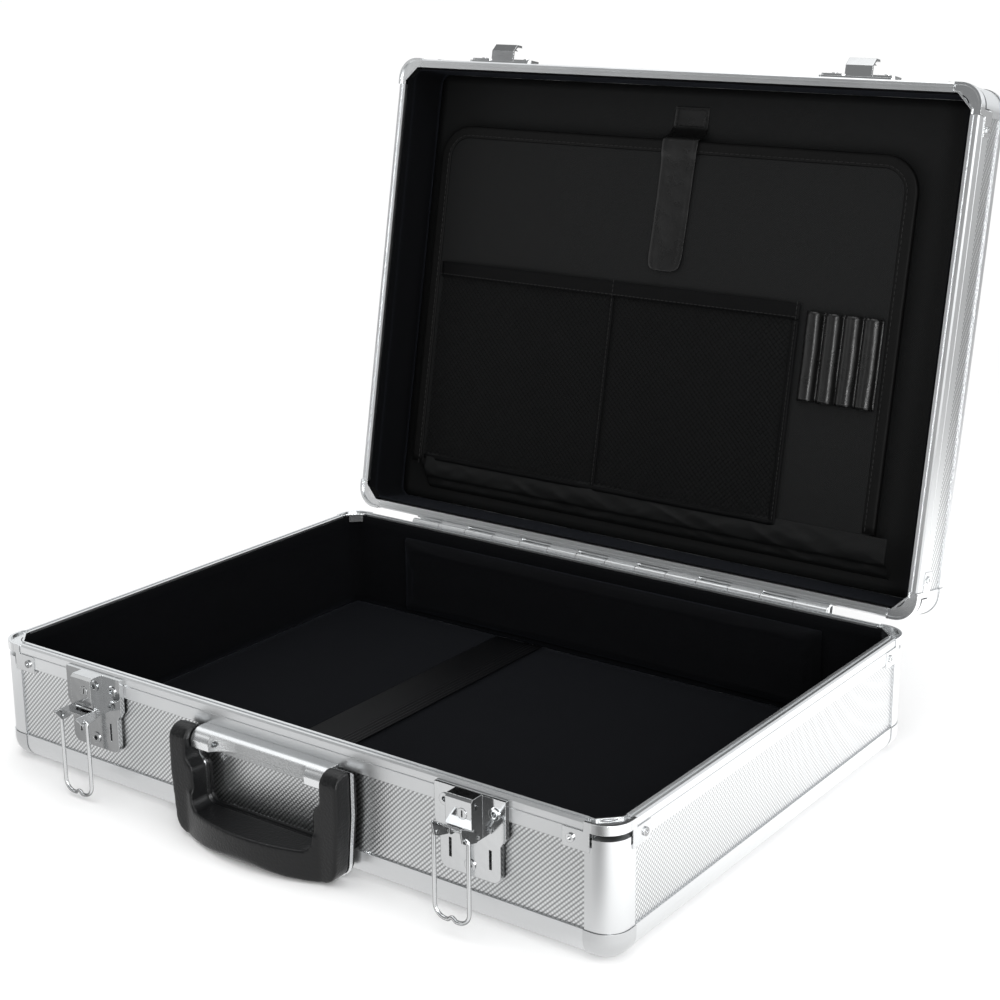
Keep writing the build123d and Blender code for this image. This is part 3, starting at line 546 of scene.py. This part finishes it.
def inflate(piece, voxel, pressure, cap, pinned):
    """Puff a closed piece up as cloth under air pressure, moving no point further than cap.

    pinned(point) says which points are sewn or glued down; it takes the point in metres.
    """
    remesh = piece.modifiers.new("remesh", "REMESH")
    remesh.mode = "VOXEL"
    remesh.voxel_size = voxel * MM
    bake(piece)
    start = [vertex.co.copy() for vertex in piece.data.vertices]
    held = piece.vertex_groups.new(name="held")
    held.add([index for index, point in enumerate(start) if pinned(point)], 1.0, "REPLACE")
    frames = 20
    cloth = piece.modifiers.new("cloth", "CLOTH")
    cloth.settings.quality = 5
    cloth.settings.mass = 0.25
    cloth.settings.tension_stiffness = 12
    cloth.settings.compression_stiffness = 12
    cloth.settings.bending_stiffness = 0.4
    cloth.settings.use_pressure = True
    cloth.settings.uniform_pressure_force = pressure
    cloth.settings.vertex_group_mass = held.name
    cloth.settings.effector_weights.gravity = 0.0
    cloth.collision_settings.use_collision = False
    for step in range(1, frames + 1):
        bpy.context.scene.frame_set(step)
    bake(piece)
    bpy.context.scene.frame_set(1)
    for vertex, before in zip(piece.data.vertices, start):
        shift = vertex.co - before
        if shift.length > cap * MM:
            vertex.co = before + shift.normalized() * cap * MM
    piece.data.update()


def bake(piece):
    """Turn a piece's modifiers into its mesh."""
    graph = bpy.context.evaluated_depsgraph_get()
    mesh = bpy.data.meshes.new_from_object(piece.evaluated_get(graph))
    materials = list(piece.data.materials)
    piece.modifiers.clear()
    piece.data = mesh
    mesh.materials.clear()
    for material in materials:
        mesh.materials.append(material)
    mesh.polygons.foreach_set("use_smooth", [True] * len(mesh.polygons))


# ---------------------------------------------------------------- linings
def wall_felt(name, node, box, move, body):
    """Felt glued round four walls and lapped over the rim's inner leg, slightly uneven."""
    low, high = box(node)
    lap = 7.6                           # how far it climbs over the leg
    step = 1.5                          # how far it stands into the room there
    gap = 0.2                           # from the wall
    spacing = 9.0                       # of its points along the walls
    slack = 0.35                        # mean bulge off the walls
    mean_half = 200.0                   # half the tub's size, between its width and its depth
    flat_rows = 9
    if body == "base":
        floor_z, rim_z, lap_way = low[2], high[2], 1
    else:
        floor_z, rim_z, lap_way = high[2], low[2], -1
    levels = [floor_z + (rim_z - floor_z) * row / flat_rows for row in range(flat_rows + 1)]
    levels += [rim_z + lap_way * lap * share for share in (0.1, 0.4, 0.7, 1.0)]
    rows = len(levels) - 1
    outline = rounded_rectangle((low[0] + gap, high[0] - gap), (low[1] + gap, high[1] - gap), 8.0, 6)
    walls = []
    for start, end in zip(outline, outline[1:] + outline[:1]):
        span = sqrt((end[0] - start[0]) ** 2 + (end[1] - start[1]) ** 2)
        cuts = max(1, round(span / spacing))
        walls += [(start[0] + (end[0] - start[0]) * cut / cuts,
                   start[1] + (end[1] - start[1]) * cut / cuts) for cut in range(cuts)]
    count = len(walls)

    def point(u, v):
        x, y = walls[round(u * count) % count]
        row = round(v * rows)
        z = levels[row]
        over = step * min(max((row - flat_rows + 1) * 0.7, 0.0), 1.0)
        pull = slack + over + 0.3 * wobble(x + y, z, 22.0, 3.0)
        shrink = 1 - pull / mean_half
        return x * shrink, y * shrink, z

    vertices, faces = grid(count, rows, point, loop=True)
    piece = finish_piece(name, vertices, faces, move, body, MAT["felt"])
    add_thickness(piece, 0.5, 1.0)
    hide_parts(node)


def soft_slab(name, outline_x, outline_y, bottom, height, radius, move, body, material, cells=7.0):
    """A crowned pad: edges rounded over, top given by height(x, y)."""
    columns = round((outline_x[1] - outline_x[0]) / cells)
    rows = round((outline_y[1] - outline_y[0]) / cells)

    def spaced(share, low, high):
        """Closer together near the rounded edges."""
        eased = 0.5 - 0.5 * cos(pi * share)
        return low + (high - low) * (0.65 * share + 0.35 * eased)

    def top(u, v):
        x = spaced(u, *outline_x)
        y = spaced(v, *outline_y)
        inset = min(x - outline_x[0], outline_x[1] - x, y - outline_y[0], outline_y[1] - y)
        drop = 0.0
        if inset < radius:
            drop = radius - sqrt(max(radius ** 2 - (radius - inset) ** 2, 0.0))
        return x, y, max(height(x, y) - drop, bottom + 0.2)

    vertices, faces = grid(columns, rows, top)
    edge = [column for column in range(columns + 1)]
    edge += [row * (columns + 1) + columns for row in range(1, rows + 1)]
    edge += [rows * (columns + 1) + column for column in range(columns - 1, -1, -1)]
    edge += [row * (columns + 1) for row in range(rows - 1, 0, -1)]
    first = len(vertices)
    vertices += [(vertices[index][0], vertices[index][1], bottom) for index in edge]
    count = len(edge)
    for index in range(count):
        after = (index + 1) % count
        faces.append((edge[after], edge[index], first + index, first + after))
    faces.append(tuple(first + index for index in reversed(range(count))))
    return finish_piece(name, vertices, faces, move, body, material)


def base_lining():
    """Felt walls, floor pad, padded back wall and the webbing strap across the floor."""
    wall_felt("base_felt_walls", "base_wall_lining", base_box, BASE_MOVE, "base")

    low, high = base_box("floor_pad")
    gap = 0.3

    def height(x, y):
        return high[2] - 0.25 + 0.2 * wobble(x, y, 60.0)

    floor = soft_slab(
        "base_floor_felt", (low[0] + gap, high[0] - gap), (low[1] + gap, high[1] - gap), low[2] + 0.1,
        height, 2.2, BASE_MOVE, "base", MAT["felt"])
    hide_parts("floor_pad")

    back_wall_pad()
    floor_webbing()


def back_wall_pad():
    """Padded panel on the back wall: a raised border round a slightly hollow field."""
    low, high = base_box("back_pad")
    border = 11.0
    slope = 5.0                         # from the border's groove down to the field
    puff_room = 1.7                     # left for the puffing
    face = low[1]
    stand = Matrix.Translation((0, high[1] * MM, 0)) @ Matrix.Rotation(radians(90), 4, "X")
    deep = high[1] - face

    def height(x, z):
        inset = min(x - low[0], high[0] - x, z - low[2], high[2] - z)
        field = min(max((inset - border) / slope, 0.0), 1.0)
        groove = exp(-((inset - border) / 1.4) ** 2)
        puff = 0.35 * sin(pi * min(inset / border, 1.0))
        return deep - puff_room + puff - 1.1 * groove - 0.7 * field + 0.35 * wobble(x, z, 35.0, 5.0)

    pad = soft_slab("back_wall_pad", (low[0], high[0]), (low[2], high[2]), 0.2, height, 4.0,
                    stand, "base", MAT["felt"], cells=3.0)
    inflate(pad, voxel=2.6, pressure=4.0, cap=1.6, pinned=lambda point: point.y > (high[1] - 1.0) * MM)
    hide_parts("back_pad")


def floor_webbing():
    """Strap across the floor: flat satin webbing with a ribbed elastic sewn along its right side."""
    low, high = base_box("floor_strap")
    width = high[0] - low[0]
    rib_from = 0.62
    ribs = 5

    def point(u, v):
        x = low[0] + width * u
        y = low[1] + (high[1] - low[1]) * v
        slack = 0.5 + 0.5 * sin(pi * v * 3.0)
        z = low[2] + 0.55 + 0.45 * slack * (0.6 + 0.4 * wobble(x, y, 30.0, 2.0))
        if u > rib_from:
            share = (u - rib_from) / (1 - rib_from)
            z += 0.65 + 0.28 * cos(2 * pi * ribs * share) * (1 if 0.02 < share < 0.98 else 0)
        return x + 0.6 * wobble(0, y, 50.0, 9.0), y, z

    vertices, faces = grid(64, 90, point)
    strap = finish_piece("floor_webbing", vertices, faces, BASE_MOVE, "base", MAT["elastic"])
    add_thickness(strap, 0.5)
    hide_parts("floor_strap")


def lid_lining():
    """Felt round the lid's walls, and nylon across its back."""
    wall_felt("lid_felt_walls", "lid_wall_lining", closed_box, LID_MOVE, "lid")
    low, high = closed_box("lid_top_lining")

    gap = 0.3

    def point(u, v):
        x = low[0] + gap + (high[0] - low[0] - 2 * gap) * u
        y = low[1] + gap + (high[1] - low[1] - 2 * gap) * v
        return x, y, high[2] - 0.55 - 0.18 * (1 + wobble(x, y, 45.0, 1.0))

    vertices, faces = grid(70, 52, point)
    cloth = finish_piece("lid_back_nylon", vertices, faces, LID_MOVE, "lid", MAT["nylon"])
    add_thickness(cloth, 0.35, 1.0)
    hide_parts("lid_top_lining")


# ---------------------------------------------------------------- organiser
BOARD_LOW, BOARD_HIGH = closed_box("organiser_board")
FACE = BOARD_LOW[2]                     # face of the board towards the room
BIND_LOW, BIND_HIGH = closed_box("organiser_binding")
ROOM = (0, 0, -1)                       # out of the lid, into the room


def organiser_board():
    """Stiff board covered in nylon, bowed a little, with soft edges."""
    outline = rounded_rectangle((BOARD_LOW[0], BOARD_HIGH[0]), (BOARD_LOW[1], BOARD_HIGH[1]), 24.0, 8)
    centre_x = (BOARD_LOW[0] + BOARD_HIGH[0]) / 2
    centre_y = (BOARD_LOW[1] + BOARD_HIGH[1]) / 2
    rings = 22
    count = len(outline)

    def face_point(u, v):
        x, y = outline[round(u * count) % count]
        share = 1 - v * 0.999
        x = centre_x + (x - centre_x) * share
        y = centre_y + (y - centre_y) * share
        rise = 0.25 * wobble(x, y, 55.0, 7.0) * min(v * 6, 1.0)
        return x, y, FACE + 0.35 + rise

    vertices, faces = grid(count, rings, face_point, loop=True)
    board = finish_piece("organiser_board_cover", vertices, faces, LID_MOVE, "lid", MAT["nylon"])
    add_thickness(board, BOARD_HIGH[2] - FACE - 0.6, 1.0, 0.4)
    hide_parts("organiser_board")


def binding_path(inset):
    """Round the board's two sides and top, from the lower left corner to the lower right one."""
    left, right = BIND_LOW[0] + inset, BIND_HIGH[0] - inset
    top, bottom = BIND_LOW[1] + inset, BIND_HIGH[1] - 8.0
    radius = 25.0 - inset
    stride = 6.0
    across = 50
    turns = 12
    side_steps = int((bottom - top - radius) / stride)
    path = [(left, bottom - stride * step) for step in range(side_steps)]
    for step in range(turns + 1):
        turn = radians(180 + 90 * step / turns)
        path.append((left + radius + radius * cos(turn), top + radius + radius * sin(turn)))
    span = right - left - 2 * radius
    path += [(left + radius + span * step / across, top) for step in range(1, across)]
    for step in range(turns + 1):
        turn = radians(270 + 90 * step / turns)
        path.append((right - radius + radius * cos(turn), top + radius + radius * sin(turn)))
    path += [(right, top + radius + stride * step) for step in range(1, side_steps)]
    return path


def organiser_binding():
    """Vinyl tape folded over the board's edge, sewn down, slightly puckered by its stitches."""
    tape = 9.0
    outer = binding_path(0.0)
    inner = binding_path(tape)
    # across the tape from its inner edge, round the board's edge and back: (share of the tape, depth)
    profile = [(1.0, -0.25), (0.93, -0.62), (0.75, -0.72), (0.5, -0.62), (0.25, -0.85), (0.08, -0.7),
               (0.0, 0.3), (0.0, 1.5), (0.0, 2.8), (0.1, 3.55), (0.6, 3.6), (1.0, 3.3)]
    vertices = []
    share_of = [index / (len(outer) - 1) for index in range(len(outer))]
    for share in share_of:
        place = share * (len(inner) - 1)
        low = min(int(place), len(inner) - 2)
        part = place - low
        near = outer[round(share * (len(outer) - 1))]
        far = tuple(a + (b - a) * part for a, b in zip(inner[low], inner[low + 1]))
        pucker = 0.14 * wobble(near[0], near[1], 5.0, 4.0) + 0.2 * wobble(near[0], near[1], 30.0, 8.0)
        for across, depth in profile:
            x = near[0] + (far[0] - near[0]) * across
            y = near[1] + (far[1] - near[1]) * across
            vertices.append((x, y, FACE + depth + pucker * (0.3 + across) * (1 if depth < 0 else 0)))
    width = len(profile)
    faces = []
    for row in range(len(outer) - 1):
        for column in range(width - 1):
            a = row * width + column
            faces.append((a, a + 1, a + 1 + width, a + width))
    tape_piece = finish_piece("organiser_edge_tape", vertices, faces, LID_MOVE, "lid", MAT["binding"])
    add_thickness(tape_piece, 0.35, 1.0)
    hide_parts("organiser_binding")
    path_length(outer) * MM
    row = [(x, y, FACE - 0.72) for x, y in binding_path(tape * 0.78)]
    stitches("organiser_edge_stitches", row, LID_MOVE, "lid", ROOM)


def gusset_cloth():
    """Nylon gathered round the board's foot and down to the lid: wrinkled and slack."""
    low, high = closed_box("organiser_gusset")
    board_foot = BOARD_HIGH[1]
    section = smooth_path([
        (board_foot - 15.0, FACE - 0.5), (board_foot - 9.0, FACE - 1.0), (board_foot - 3.0, FACE - 1.2),
        (board_foot + 2.5, FACE + 0.4), (board_foot + 5.0, FACE + 3.2), (high[1] - 4.0, FACE + 4.6),
        (high[1] - 1.8, FACE + 6.8), (high[1] - 0.5, high[2] + 0.4)], 6)
    columns = 240
    rows = len(section) - 1

    def point(u, v):
        x = low[0] - 4.0 + (high[0] - low[0] + 4.0) * u
        y, z = section[round(v * rows)]
        slack = sin(pi * min(v * 1.15, 1.0)) ** 0.7
        fold = wobble(x + 1.4 * y, y * 0.8, 17.0, 11.0)
        ridge = 1 - 2 * abs(wobble(x - 2.0 * y, y * 1.3, 28.0, 12.0))
        fine = wobble(x + y, y, 6.0, 13.0)
        lift = slack * (1.5 * fold + 1.1 * ridge + 0.35 * fine)
        return x, y - 0.5 * lift, min(z - max(lift, -0.6), high[2] + 0.4)

    vertices, faces = grid(columns, rows, point)
    cloth = finish_piece("gusset_cloth", vertices, faces, LID_MOVE, "lid", MAT["nylon"])
    add_thickness(cloth, 0.3, 1.0)
    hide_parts("organiser_gusset")
    path_length(section) * MM


def net_surface(x, y, low, high, divider):
    """Depth of the net's face: two shallow bags, slack towards the top."""
    if x < divider:
        share = (x - low[0]) / (divider - low[0])
    else:
        share = (x - divider) / (high[0] - divider)
    rise = (y - low[1]) / (high[1] - low[1])
    bag = sin(pi * min(max(share, 0.0), 1.0)) ** 0.6 * (1 - 0.55 * rise ** 2)
    return FACE - 0.45 - 2.0 * bag - 0.5 * wobble(x, y, 26.0, 6.0) * bag


def mesh_pocket():
    """Knitted net in two compartments, with a folded hem, edge tapes and a sewn divider."""
    low, high = closed_box("mesh_pocket")
    divider = -42.0
    hem = 11.0
    cell = 4.0
    thread = 0.62
    half = cell / 2
    columns = int((high[0] - low[0]) / half)
    rows = int((high[1] - low[1] - hem * 0.5) / half)
    vertices, faces, seen = [], [], {}

    def vertex(column, row):
        key = (column, row)
        if key not in seen:
            x = low[0] + half * column
            y = low[1] + hem * 0.5 + half * row
            sag = 1.2 * wobble(x, y, 45.0, 14.0)
            seen[key] = len(vertices)
            x_slack = min(max(x + sag, low[0]), high[0])
            vertices.append((x_slack, y + 0.8 * wobble(x, y, 30.0, 15.0),
                             net_surface(x, y, low, high, divider)))
        return seen[key]

    for row in range(1, rows):
        for column in range(1, columns):
            if (row + column) % 2 == 0:
                faces.append((vertex(column, row - 1), vertex(column + 1, row),
                              vertex(column, row + 1), vertex(column - 1, row)))
    net = finish_piece("mesh_net", vertices, faces, LID_MOVE, "lid", MAT["net"])
    wire = net.modifiers.new("threads", "WIREFRAME")
    wire.thickness = thread * MM
    wire.use_even_offset = False
    wire.use_boundary = True
    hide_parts("mesh_pocket")

    def tape(name, x, y, columns, rows, lift):
        def point(u, v):
            px = x[0] + (x[1] - x[0]) * u
            py = y[0] + (y[1] - y[0]) * v
            pz = net_surface(px, py, low, high, divider) - lift - 0.15 * wobble(px, py, 8.0, 16.0)
            return px, py + 0.5 * wobble(px, 0, 30.0, 15.0), pz
        made_vertices, made_faces = grid(columns, rows, point)
        piece = finish_piece(name, made_vertices, made_faces, LID_MOVE, "lid", MAT["net"])
        add_thickness(piece, 0.5)
        return piece

    tape("mesh_hem", (low[0], high[0]), (low[1], low[1] + hem), 150, 6, 0.5)
    tape("mesh_divider", (divider - 1.6, divider + 1.6), (low[1] + hem, high[1]), 2, 60, 0.1)
    tape("mesh_right_edge", (high[0] - 4.5, high[0]), (low[1] + hem, high[1]), 3, 60, 0.3)
    tape("mesh_foot", (low[0], high[0]), (high[1] - 3.5, high[1]), 150, 2, 0.3)
    stride, across, down = 3, 101, 50
    for name, path in (
        ("mesh_hem_stitches", [(low[0] + stride * step, low[1] + hem - 1.5) for step in range(across)]),
        ("mesh_divider_stitches", [(divider, low[1] + stride * step) for step in range(down)]),
        ("mesh_edge_stitches", [(high[0] - 2.2, low[1] + stride * step) for step in range(down)]),
    ):
        row = [(x, y, net_surface(x, y, low, high, divider) - 1.05) for x, y in path]
        stitches(name, row, LID_MOVE, "lid", ROOM, length=2.6, gap=0.8, radius=0.3)


def pen_loops():
    """One glossy vinyl strip sewn down between four pen loops."""
    low, high = closed_box("pen_loops")
    count = 4
    pitch = (high[0] - low[0]) / count
    tall = high[2] - low[2] - 0.6
    wall = 0.9
    per_loop = 22                       # columns of the grid in one loop

    def arch(share, index):
        """Height of a loop across its width: a flattened tube, dented along its middle."""
        lean = 0.035 * (index - 1.5)
        skew = min(max(share + lean * sin(pi * share), 0.0), 1.0)
        side = abs(2 * skew - 1)
        dent = (0.03 + 0.03 * index) * exp(-((skew - 0.42) / 0.15) ** 2)
        return max(1 - side ** 2.1, 0.0) ** 0.5 - dent

    def point(u, v):
        place = u * count
        index = min(int(place), count - 1)
        share = place - index
        x = low[0] + u * (high[0] - low[0])
        y = low[1] + v * (high[1] - low[1])
        swell = 1 - 0.06 * index - 0.05 * sin(pi * v)
        height = tall * swell * arch(min(max((share - 0.07) / 0.86, 0), 1), index)
        crease = 0.12 * wobble(x * 2.5, y, 18.0, 17.0)
        return x + 0.35 * wobble(0, y, 25.0, 18.0 + index), y, FACE - 0.5 - height + crease

    vertices, faces = grid(count * per_loop, 26, point)
    strip = finish_piece("pen_loop_strip", vertices, faces, LID_MOVE, "lid", MAT["gloss"])
    add_thickness(strip, wall, 1.0)
    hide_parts("pen_loops")
    columns = count * per_loop
    arc = path_length([point(step / columns, 0.5)[::2] for step in range(columns + 1)])
    for index in range(count + 1):
        x = low[0] + min(max(index * pitch, 1.0), high[0] - low[0] - 1.0)
        row = [(x, low[1] + 2 + 3 * step, FACE - 0.75) for step in range(20)]
        stitches(f"pen_loop_stitches_{index + 1}", row, LID_MOVE, "lid", ROOM,
                 length=2.4, gap=0.9, radius=0.28)


def closing_strap():
    """Vinyl strap sewn to the lid's back, folded over the board's edge and hanging down its face."""
    low, high = closed_box("organiser_strap")
    middle = (low[0] + high[0]) / 2
    half = (high[0] - low[0]) / 2
    edge = BIND_LOW[1]
    section = smooth_path([
        (low[1], high[2] + 1.2), (low[1] + 10.0, high[2] + 1.0), (edge - 8.0, high[2] - 0.2),
        (edge - 3.6, high[2] - 4.5), (edge - 1.8, FACE - 1.2), (edge + 4.0, FACE - 2.6),
        (edge + 20.0, FACE - 1.9), (edge + 55.0, FACE - 1.3), (high[1] - 12.0, FACE - 1.6),
        (high[1], FACE - 2.2)], 7)
    rows = len(section) - 1
    columns = 16
    tip = 13.0

    def point(u, v):
        y, z = section[round(v * rows)]
        across = 2 * u - 1
        width = half * (1.0 + 0.06 * exp(-((y - edge) / 14.0) ** 2))
        if y > high[1] - tip:
            share = (y - (high[1] - tip)) / tip
            width *= 0.55 + 0.45 * sqrt(max(1 - share ** 3.0, 0.0))
        lip = 0.25 * exp(-((abs(across) - 0.86) / 0.07) ** 2)
        cup = 0.35 * across ** 2 if y > edge + 10 else 0.0
        slant = -0.035 * max(y - edge, 0.0)
        ripple = 0.15 * wobble(across * 9, y, 12.0, 19.0)
        return middle + slant + across * width, y, z - lip + cup + ripple

    vertices, faces = grid(columns, rows, point)
    strap = finish_piece("closing_strap", vertices, faces, LID_MOVE, "lid", MAT["gloss"])
    add_thickness(strap, 1.1, 1.0, 0.3)
    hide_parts("organiser_strap")
    path_length(section) * MM

    patch_low = low[1] - 1.0
    patch = [(middle - half + 2.0, patch_low + 3.0), (middle + half - 2.0, patch_low + 3.0),
             (middle + half - 2.0, patch_low + 14.0), (middle - half + 2.0, patch_low + 14.0),
             (middle - half + 2.0, patch_low + 3.0)]
    row = [(x, y, high[2] - 0.45) for x, y in patch]
    stitches("closing_strap_stitches", row, LID_MOVE, "lid", ROOM)


# ---------------------------------------------------------------- handle
def rounded_copy(name, node, voxel, smooth_steps, material, body):
    """Replace a hard-edged CAD piece by its own shape, remeshed and worn round at the edges."""
    source = frame["nodes"][node]
    mesh = source.data.copy()
    mesh.materials.clear()
    mesh.materials.append(material)
    piece = bpy.data.objects.new(name, mesh)
    bpy.context.scene.collection.objects.link(piece)
    weld = piece.modifiers.new("weld", "WELD")
    weld.merge_threshold = 1e-6
    remesh = piece.modifiers.new("remesh", "REMESH")
    remesh.mode = "VOXEL"
    remesh.voxel_size = voxel * MM
    remesh.use_smooth_shade = True
    soften = piece.modifiers.new("soften", "SMOOTH")
    soften.factor = 0.5
    soften.iterations = smooth_steps
    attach(piece, body)
    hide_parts(node)
    return piece


def handle_shells():
    """Front and rear shell of the grip; the rear one is thinner, so it is worn less."""
    rounded_copy("handle_grip", "handle_front_shell", 0.8, 18, MAT["grip"], "handle")
    rounded_copy("handle_back", "handle_rear_shell", 0.5, 4, MAT["grip"], "handle")


# ---------------------------------------------------------------- stage
def add_camera():
    """The photograph's viewpoint: in front, to the right and a little above."""
    azimuth, elevation, roll = radians(35.24), radians(15.49), -0.0029
    place = Vector((0.6832, -0.8713, 0.4973))
    back = Vector((sin(azimuth) * cos(elevation), -cos(azimuth) * cos(elevation), sin(elevation)))
    level = Vector((0, 0, 1)).cross(back).normalized()
    upright = back.cross(level)
    right = cos(roll) * level + sin(roll) * upright
    above = -sin(roll) * level + cos(roll) * upright
    data = bpy.data.cameras.new("camera")
    data.sensor_width = 36.0
    data.lens = 67.94
    data.shift_x = -0.0440
    data.shift_y = -0.0425
    data.clip_start = 0.01
    camera = bpy.data.objects.new("camera", data)
    camera.matrix_world = Matrix.Translation(place) @ Matrix((right, above, back)).transposed().to_4x4()
    bpy.context.scene.collection.objects.link(camera)
    bpy.context.scene.camera = camera


# (share of the way from left to right, brightness) of the floor as the metal mirrors it
FLOOR_TONES = ((0.18, 1.15), (0.29, 0.82), (0.51, 0.82), (0.60, 1.80), (0.71, 1.80), (0.84, 0.50))
# (how far a direction points to the front left, brightness) of the room as the metal mirrors it
ROOM_TONES = ((0.0, 1.0), (0.25, 0.95), (0.45, 0.45), (0.62, 0.08), (0.78, 0.30), (1.0, 0.22))
WHITE = 1.02                            # the plain background


def add_floor():
    """A white sweep: it takes the case's shadow, fades to white, and is mirrored in light and dark bands."""
    half = 30.0
    plain_from, plain_to = 0.45, 1.1    # distance where the floor starts and ends its fade to white
    left, right = -1.0, 1.2             # ends of the mirrored bands
    dim = Vector((0.23, -0.35, 0.0))    # middle of the dim patch at the front right corner
    mesh = bpy.data.meshes.new("floor")
    mesh.from_pydata([(-half, -half, 0), (half, -half, 0), (half, half, 0), (-half, half, 0)], [],
                     [(0, 1, 2, 3)])
    look = Look("floor", Roughness=0.9, Specular_IOR_Level=0.0)
    tree = look.tree
    look.set("Base Color", look.blend(look.noise(400.0, 2.0), grey(0.90), grey(0.92)))
    far = look.node("ShaderNodeVectorMath", {0: look.place}, operation="LENGTH").outputs["Value"]
    plain = look.node("ShaderNodeMapRange", {"Value": far, "From Min": plain_from, "From Max": plain_to})
    side = look.math("MULTIPLY", look.along((1.0, 0.35, 0.0)), MM)
    share = look.node("ShaderNodeMapRange", {"Value": side, "From Min": left, "From Max": right})
    bands = look.node("ShaderNodeValToRGB", {"Fac": share.outputs["Result"]})
    set_stops(bands.color_ramp, FLOOR_TONES, 0.5)
    away = look.node("ShaderNodeVectorMath", {0: look.place, 1: dim},
                     operation="DISTANCE").outputs["Value"]
    shaded = look.node("ShaderNodeMapRange", {"Value": away, "From Min": 0.04, "From Max": 0.14,
                                              "To Min": 0.40, "To Max": 2.0}).outputs["Result"]
    bright = look.math("MULTIPLY", bands.outputs["Color"], shaded)
    rays = tree.nodes.new("ShaderNodeLightPath").outputs
    white = look.node("ShaderNodeEmission", {"Strength": WHITE}).outputs[0]
    mirrored = look.node("ShaderNodeEmission", {"Strength": bright}).outputs[0]
    seen = look.node("ShaderNodeMixShader", {0: look.math("MULTIPLY", plain.outputs["Result"],
                                                          rays["Is Camera Ray"]),
                                             1: look.shader.outputs[0], 2: white}).outputs[0]
    both = look.node("ShaderNodeMixShader", {0: rays["Is Glossy Ray"], 1: seen, 2: mirrored}).outputs[0]
    tree.links.new(both, tree.nodes["Material Output"].inputs["Surface"])
    mesh.materials.append(look.material)
    floor = bpy.data.objects.new("floor", mesh)
    floor.location.z = cad_box[0].z
    bpy.context.scene.collection.objects.link(floor)


def add_softbox(name, place, target, size, power):
    """A rectangular light at a place, turned to a target; sizes in metres, power in watts."""
    data = bpy.data.lights.new(name, "AREA")
    data.shape = "RECTANGLE"
    data.size, data.size_y = size
    data.energy = power
    light = bpy.data.objects.new(name, data)
    light.location = place
    light.rotation_mode = "QUATERNION"
    light.rotation_quaternion = (Vector(target) - Vector(place)).to_track_quat("-Z", "Y")
    bpy.context.scene.collection.objects.link(light)


def add_surroundings():
    """A white room, dark towards the front left so that the metal has something to mirror."""
    world = bpy.data.worlds.new("room")
    bpy.context.scene.world = world
    world.use_nodes = True
    nodes, links = world.node_tree.nodes, world.node_tree.links
    place = nodes.new("ShaderNodeTexCoord")
    facing = nodes.new("ShaderNodeVectorMath")
    facing.operation = "DOT_PRODUCT"
    facing.inputs[1].default_value = Vector((-0.45, -0.85, 0.05)).normalized()
    links.new(place.outputs["Generated"], facing.inputs[0])
    ramp = nodes.new("ShaderNodeValToRGB")
    set_stops(ramp.color_ramp, ROOM_TONES)
    links.new(facing.outputs["Value"], ramp.inputs["Fac"])
    rays = nodes.new("ShaderNodeLightPath")
    seen = nodes.new("ShaderNodeMix")
    seen.data_type = "RGBA"
    links.new(rays.outputs["Is Glossy Ray"], seen.inputs["Factor"])
    seen.inputs[6].default_value = (*grey(WHITE), 1)
    links.new(ramp.outputs["Color"], seen.inputs[7])
    links.new(seen.outputs[2], nodes["Background"].inputs["Color"])


def stage():
    """Camera, floor, room and lights."""
    add_camera()
    add_floor()
    add_surroundings()
    add_softbox("right_softbox", (1.6, -0.3, 1.1), (0.1, 0, 0.1), (1.2, 1.4), 6)
    add_softbox("top_softbox", (-0.2, 0.1, 1.9), (0, 0, 0.1), (1.8, 1.4), 9)
    add_softbox("left_fill", (-1.7, -1.0, 1.0), (0, 0, 0.15), (0.8, 1.2), 2)
    add_softbox("loop_strip", (1.08, -1.05, 0.55), (0.12, 0.2, 0.35), (0.25, 1.0), 9)
    bpy.context.scene.view_settings.view_transform = "Standard"


stage()
dress_metal()
base_lining()
lid_lining()
organiser_board()
organiser_binding()
gusset_cloth()
mesh_pocket()
pen_loops()
closing_strap()
handle_shells()
